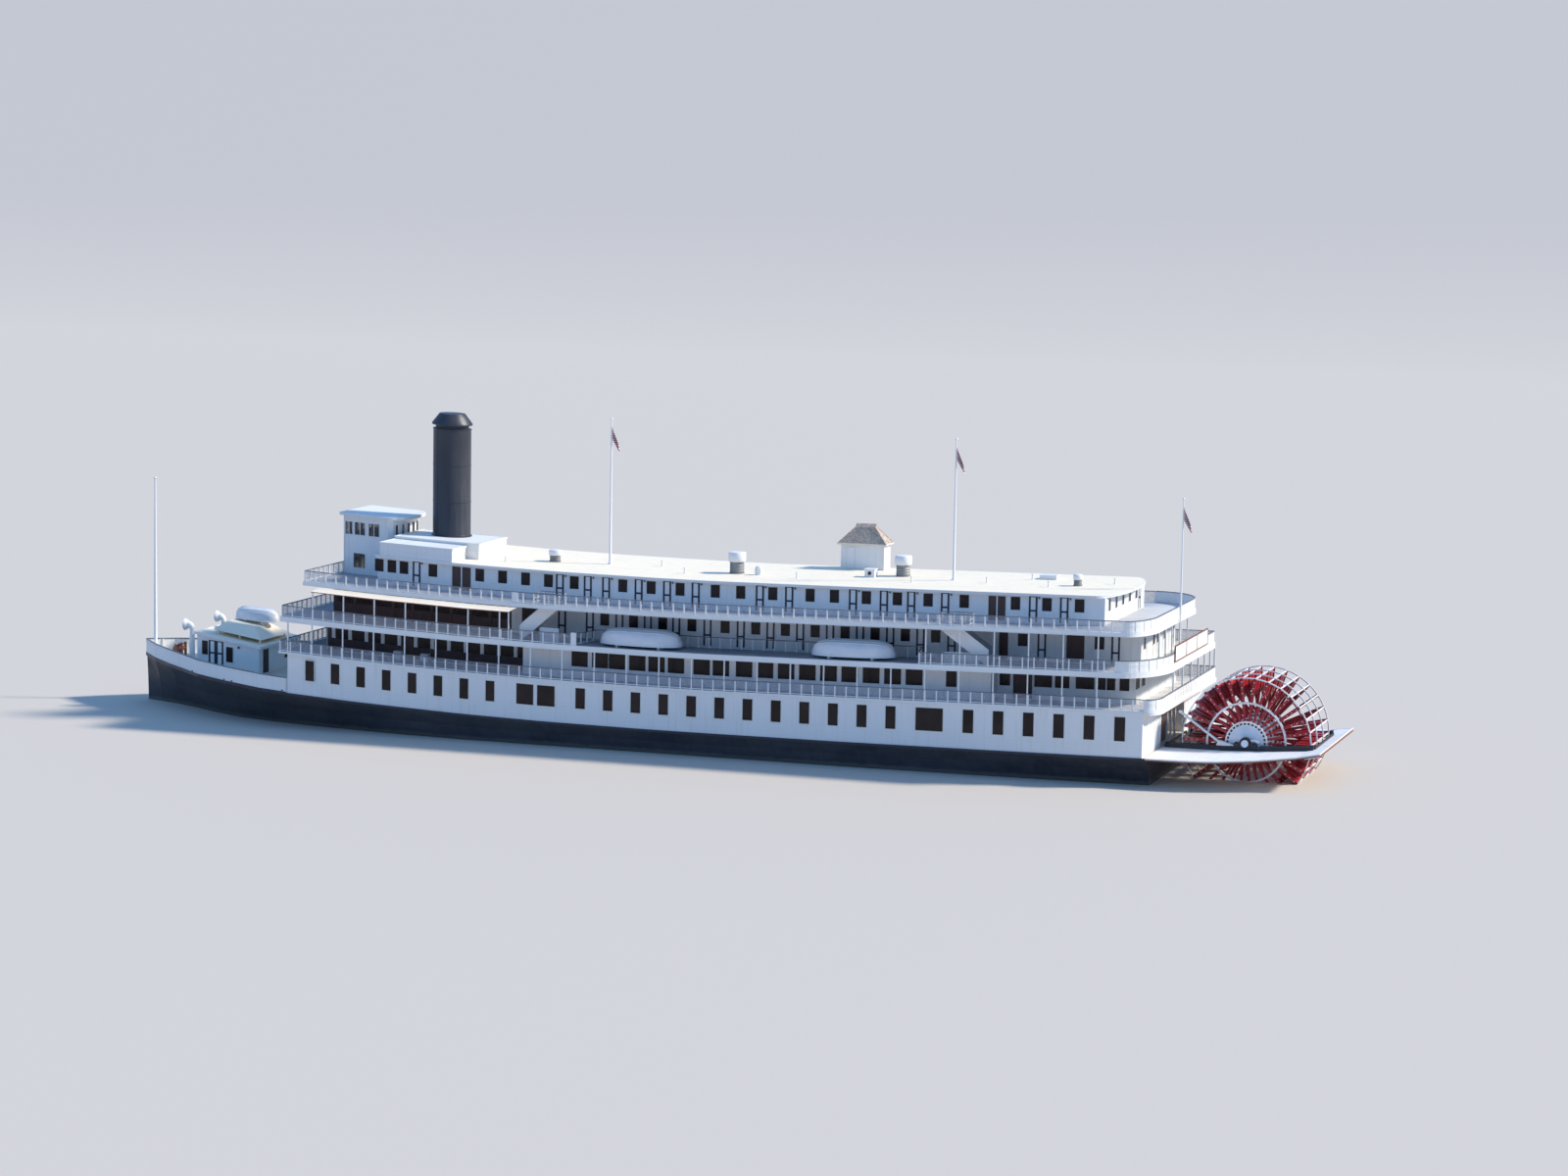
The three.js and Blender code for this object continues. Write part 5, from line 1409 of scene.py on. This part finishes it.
# Forecastle, pilothouse and stairs
class BOW_OT_forecastle(PieceOperator):
    """Forecastle doors and windows, the bulwark's cap and scuppers, and the windlass"""

    bl_idname = "paddleboat.forecastle"
    bl_label = "Forecastle and Bow"

    def make(self):
        doors = door(7440 - 29, 56, 207, 372, 285) + door(7440 + 29, 56, 209, 374, 285)
        for sign, side in SIDES:
            openings(f"forecastle_openings_{side}", np.concatenate([
                on_side(framed(7528, 46, 267, 366, border=4.0), 312, sign),
                on_side(framed(7332, 54, 232, 341, border=4.0), 316, sign), on_side(doors, 314, sign),
                on_side([[7253, 7265, 2, 14, 340, 352, DARK], [7102, 7585, -5, 5, 176, 181, DARK]], 314, sign)]))
        rows = framed(216, 96, 172, 342, border=5.0) + framed(-120, 60, 240, 330, border=4.0)
        openings("forecastle_aft_openings", on_end(rows, 7100, -1))
        eave = [(7085, -334), (7605, -324), (7605, 324), (7085, 334), (7085, -334)]
        points, faces = strip(fine(eave, 60), -4, 2.5, -15, 2.5, 371)
        points[:, 2] += (points[:, 0] - 7100) * (421 - 371) / 490
        assembly("forecastle_eaves", [((points, faces), smooth_white)])
        self.bulwark()
        self.windlass()

    def bulwark(self):
        """A cap rail whose dark grey is painted shade from inside the bulwark, a white rubbing strip below it,
        stanchions
        inside, and scuppers at deck level: dark boxes that paint the shade in their openings.
        """
        path = bow_path()
        posts = spread(path - 14 * mitres(path)[:, :2], 110)
        # Scuppers as dark boxes on the bulwark: painted shade where the openings are.
        scupper_shade = [[x - 8, x + 8, sign * (y - 4), sign * (y + 1.2), MAIN_DECK + 10, MAIN_DECK + 17]
                 for sign in (1, -1) for x in (7500, 7170, 7100, 6660)
                 for y in [float(np.interp(x, BOW_EDGE[:, 0], BOW_EDGE[:, 1]))]]
        assembly("bow_bulwark_trim", [
            # The cap rail's dark grey, reaching inboard, is painted shade from inside the bulwark.
            (strip(path, -13, 1.6, 102, 107, MAIN_DECK), rail_grey),
            (strip(path, -1.5, 1.4, 84, 90, MAIN_DECK), smooth_white),
            (strip(path, -1.5, 2.2, 1, 7, MAIN_DECK), dark_trim),
            (uprights(posts, 4, MAIN_DECK + GAP, MAIN_DECK + 102), smooth_white), (box_part(scupper_shade), dark_steel)])

    def windlass(self):
        """Barrel with whelps, warping heads, cheeks, bitts with caps and a chain stopper, in brown paint."""
        deck, place = MAIN_DECK, (7896, 0, MAIN_DECK + 62)
        half = [(28, 17), (32, 20), (36, 20), (40, 25), (44, 25), (44, 0)]
        barrel = turned([(r, -y) for y, r in half[::-1]] + [(r, y) for y, r in half], 28, place, "y")
        whelps = moved(spun(box_part([15, 19, -24, 24, -2, 2]), np.arange(12) * math.pi / 6), place)
        rows = [block(7896, y, 18, 5.4, deck + 8, deck + 92.5) for y in (-27, 27)]
        for y in (-30, 30):
            rows += [block(7855, y, 7.5, 7.5, deck + 8, deck + 106), block(7855, y, 11, 11, deck + 98, deck + 106),
                     block(7855, y, 6, 5, deck + 106, deck + 112)]
        rows += [[7838, 7928, -50, 50, deck + 0.4, deck + 10.5], block(7855, 0, 4, 46, deck + 66, deck + 74)]
        groups = [(barrel, brown_gear, True), (whelps, dark_steel), (box_part(rows), brown_gear)]
        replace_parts(assembly("deck_windlass", groups, slot="gear_brown"), "windlass")


PILOT = {"aft": 6095.0, "fore": 6478.0, "half": 250.0, "wall": 8.0, "curve": 45.0, "sill": 1236.0, "head": 1324.0,
         "top": 1368.0}
PILOT_SIDE_WINDOWS = ((6208, 6287), (6316, 6394), (6412, 6466))
PILOT_LOW_WINDOW = (6315, 6402, 1004, 1105)


class PILOT_OT_house(PieceOperator):
    """Pilothouse window frames, panes, corner boards and the moulding under its roof"""

    bl_idname = "paddleboat.pilothouse"
    bl_label = "Pilothouse"

    def make(self):
        sill, head, top, fore, half = [PILOT[key] for key in ("sill", "head", "top", "fore", "half")]
        frames, panes = [], []
        for sign, _ in SIDES:
            for x0, x1, low, high in [(*span, sill, head) for span in PILOT_SIDE_WINDOWS] + [PILOT_LOW_WINDOW]:
                middle = (x0 + x1) / 2
                rows = framed(middle, x1 - x0, low, high, border=5.0)[1:]
                if (x0, x1) in PILOT_SIDE_WINDOWS:
                    rows.append([middle - 2, middle + 2, -3, 2, low, high, CREAM])
                frames.append(on_side(rows, half - 1, sign))
                panes.append(on_side([[x0 - 1, x1 + 1, -4, -2, low - 1, high + 1, GLASS]], half - 1, sign))
        for i in (-2, -1, 0, 1, 2):
            frames.append(on_end(framed(i * 95, 76, sill, head, border=5.0)[1:], fore - 1, 1))
            panes.append(on_end([[i * 95 - 39, i * 95 + 39, -4, -2, sill - 1, head + 1, GLASS]], fore - 1, 1))
            x = self.aft_wall(i * 90)
            frames.append(on_end(framed(i * 90, 40, sill, head, border=5.0, deep=3.0)[1:], x + 3, -1))
            panes.append(on_end([[i * 90 - 22, i * 90 + 22, -3, -1, sill - 1, head + 1, GLASS]], x + 3, -1))
        sides = [[x, x + 7, sign * 249, sign * 253, TEXAS_DECK + 1, top - 1] for sign in (1, -1) for x in (6141, 6471)]
        roof = both_sides(np.concatenate([quarter(6020, 274, 120, 254, 14), quarter(6505, 274, -20, 20, 14)[::-1]]))
        assembly("pilothouse_trim", [
            (box_part(np.concatenate(frames)[:, :6]), smooth_white),
            (box_part(np.concatenate(panes)[:, :6]), clear_glass),
            (strip(roof, -12, 3, -1, 4, top + 0.5, True), smooth_white),
            (strip(roof, -6, 4.5, 10, 16, top + 0.5, True), smooth_white), (box_part(sides), smooth_white)])
        rows = on_side(framed(6240, 70, 1060, 1130, border=4.0), half, -1)[:, :6]
        handle = turned([(0, 0), (4, 0), (5, 4), (4, 9), (0, 10)], 12, (6206, -260, 1045), "y")
        groups = [(box_part(rows[1:]), smooth_white), (box_part(rows[0]), clear_glass), (handle, dark_steel)]
        assembly("pilothouse_door_trim", groups, body="pilothouse_door")

    def aft_wall(self, y):
        """Distance of the curved aft wall at a place across: a quarter ellipse on each side of a short flat."""
        share = np.clip(1 - (PILOT["half"] - abs(y)) / (PILOT["half"] - 30), 0, 1)
        return PILOT["aft"] + PILOT["curve"] * (1 - math.sqrt(1 - share ** 2))


# Stairs: places of their feet and heads, their sides, the height of the boards over the treads and their depth
STAIRS = ((4921.0, 4633.0), (1623.0, 1974.0))
STAIR_SIDES = ((705.0, -1), (795.0, 1))
STAIR_RISE, STAIR_DEPTH = 104.0, 14.0
# Low boards under the stairs and boards on the rails
STAIR_BOARDS = ((4640, 4777, 783, 787, 700.4, 795), (1690, 1929, 783, 787, 700.4, 777),
                (4482, 4521, 860, 869, 700.4, 786),
                (5004, 5112, 866, 870, 702, 714), (4908, 4944, 857, 864, 959, 1034))


class STAIRS_OT_panels(PieceOperator):
    """White boarded sides and handrails of the stairs, and railings round their openings in the texas deck"""

    bl_idname = "paddleboat.stairs"
    bl_label = "Stairs"

    def make(self):
        low, high = OBSERVATION_DECK + 0.5, TEXAS_DECK - 4
        share = np.linspace(0.0, 0.975, 27)
        covered = share <= 1 - STAIR_RISE / (high - low)
        line = low + share * (high - low)
        bottom, top = np.maximum(line - STAIR_DEPTH - 1, low), np.minimum(line + STAIR_RISE + 1, high)
        for sign, side in SIDES:
            groups = [(box_part(np.array(STAIR_BOARDS) * [1, 1, sign, sign, 1, 1]), smooth_white)]
            for foot, head in STAIRS:
                x = foot + share * (head - foot)
                for y, out in STAIR_SIDES:
                    y0, y1 = sign * (y + 0.4 * out), sign * (y + 3.4 * out)
                    groups += [(self.board(x, y0, y1, bottom, top), smooth_white),
                               (self.board(x[covered], y0 - sign * out, y1 + sign * out, (top - 4)[covered],
                                           (top + 1)[covered]), rail_grey)]
                groups.append((self.board(x, sign * 706, sign * 794, line - 17, line - 13), smooth_white))
                groups += self.guard(sign, foot, head)
            assembly(f"stair_sides_{side}", groups)

    def board(self, x, y0, y1, bottom, top):
        """An upright board along the boat between two lines of height."""
        return capped(np.stack([np.column_stack([x, np.full(len(x), y), z])
                                for y, z in ((y0, bottom), (y1, bottom), (y1, top), (y0, top))], 1))

    def guard(self, sign, foot, head):
        """The railing round a stair's opening: open at the head of the stair, closed on its three other sides."""
        far = head + 0.62 * (foot - head)
        y0, y1 = [sign * (y + 12 * out) for y, out in STAIR_SIDES]
        path = fine([(head, y0), (far, y0), (far, y1), (head, y1)])
        return railing_groups(path, TEXAS_DECK, size("rail_height") - 4, meshed=False)


# Panel
class PADDLEBOAT_PT_pieces(bpy.types.Panel):
    """Lists the boat's pieces and its stage"""

    bl_label = "Paddle Boat"
    bl_idname = "PADDLEBOAT_PT_pieces"
    bl_space_type = "VIEW_3D"
    bl_region_type = "UI"
    bl_category = "Paddle Boat"

    def draw(self, context):
        for group in (context.scene.paddle_boat_looks, context.scene.paddle_boat_sizes):
            for name in group.__annotations__:
                self.layout.prop(group, name)
        for operator in OPERATORS:
            self.layout.operator(operator.bl_idname)


OPERATORS = (
    STAGE_OT_camera_light, HULL_OT_node_finishes, MAIN_OT_windows, UPPER_OT_openings, SALOON_OT_openings,
    RAILS_OT_sides, DECKS_OT_trim, STERN_OT_rails, STERN_OT_walls, STERN_OT_gear, WHEEL_OT_paddle_wheel,
    BOATS_OT_upturned, DECK_OT_cowls, ROOF_OT_fittings, FUNNEL_OT_stack, POLES_OT_masts, AWNING_OT_canvas,
    BOW_OT_forecastle, PILOT_OT_house, STAIRS_OT_panels,
)
CLASSES = (PaddleBoatLooks, PaddleBoatSizes, *OPERATORS, PADDLEBOAT_PT_pieces)


def register():
    for each in CLASSES:
        bpy.utils.register_class(each)
    bpy.types.Scene.paddle_boat_looks = bpy.props.PointerProperty(type=PaddleBoatLooks)
    bpy.types.Scene.paddle_boat_sizes = bpy.props.PointerProperty(type=PaddleBoatSizes)


def unregister():
    del bpy.types.Scene.paddle_boat_sizes
    del bpy.types.Scene.paddle_boat_looks
    for each in reversed(CLASSES):
        bpy.utils.unregister_class(each)


def main():
    register()
    for operator in OPERATORS:
        group, name = operator.bl_idname.split(".")
        getattr(getattr(bpy.ops, group), name)()
    bpy.context.view_layer.update()


if __name__ == "__main__":
    main()
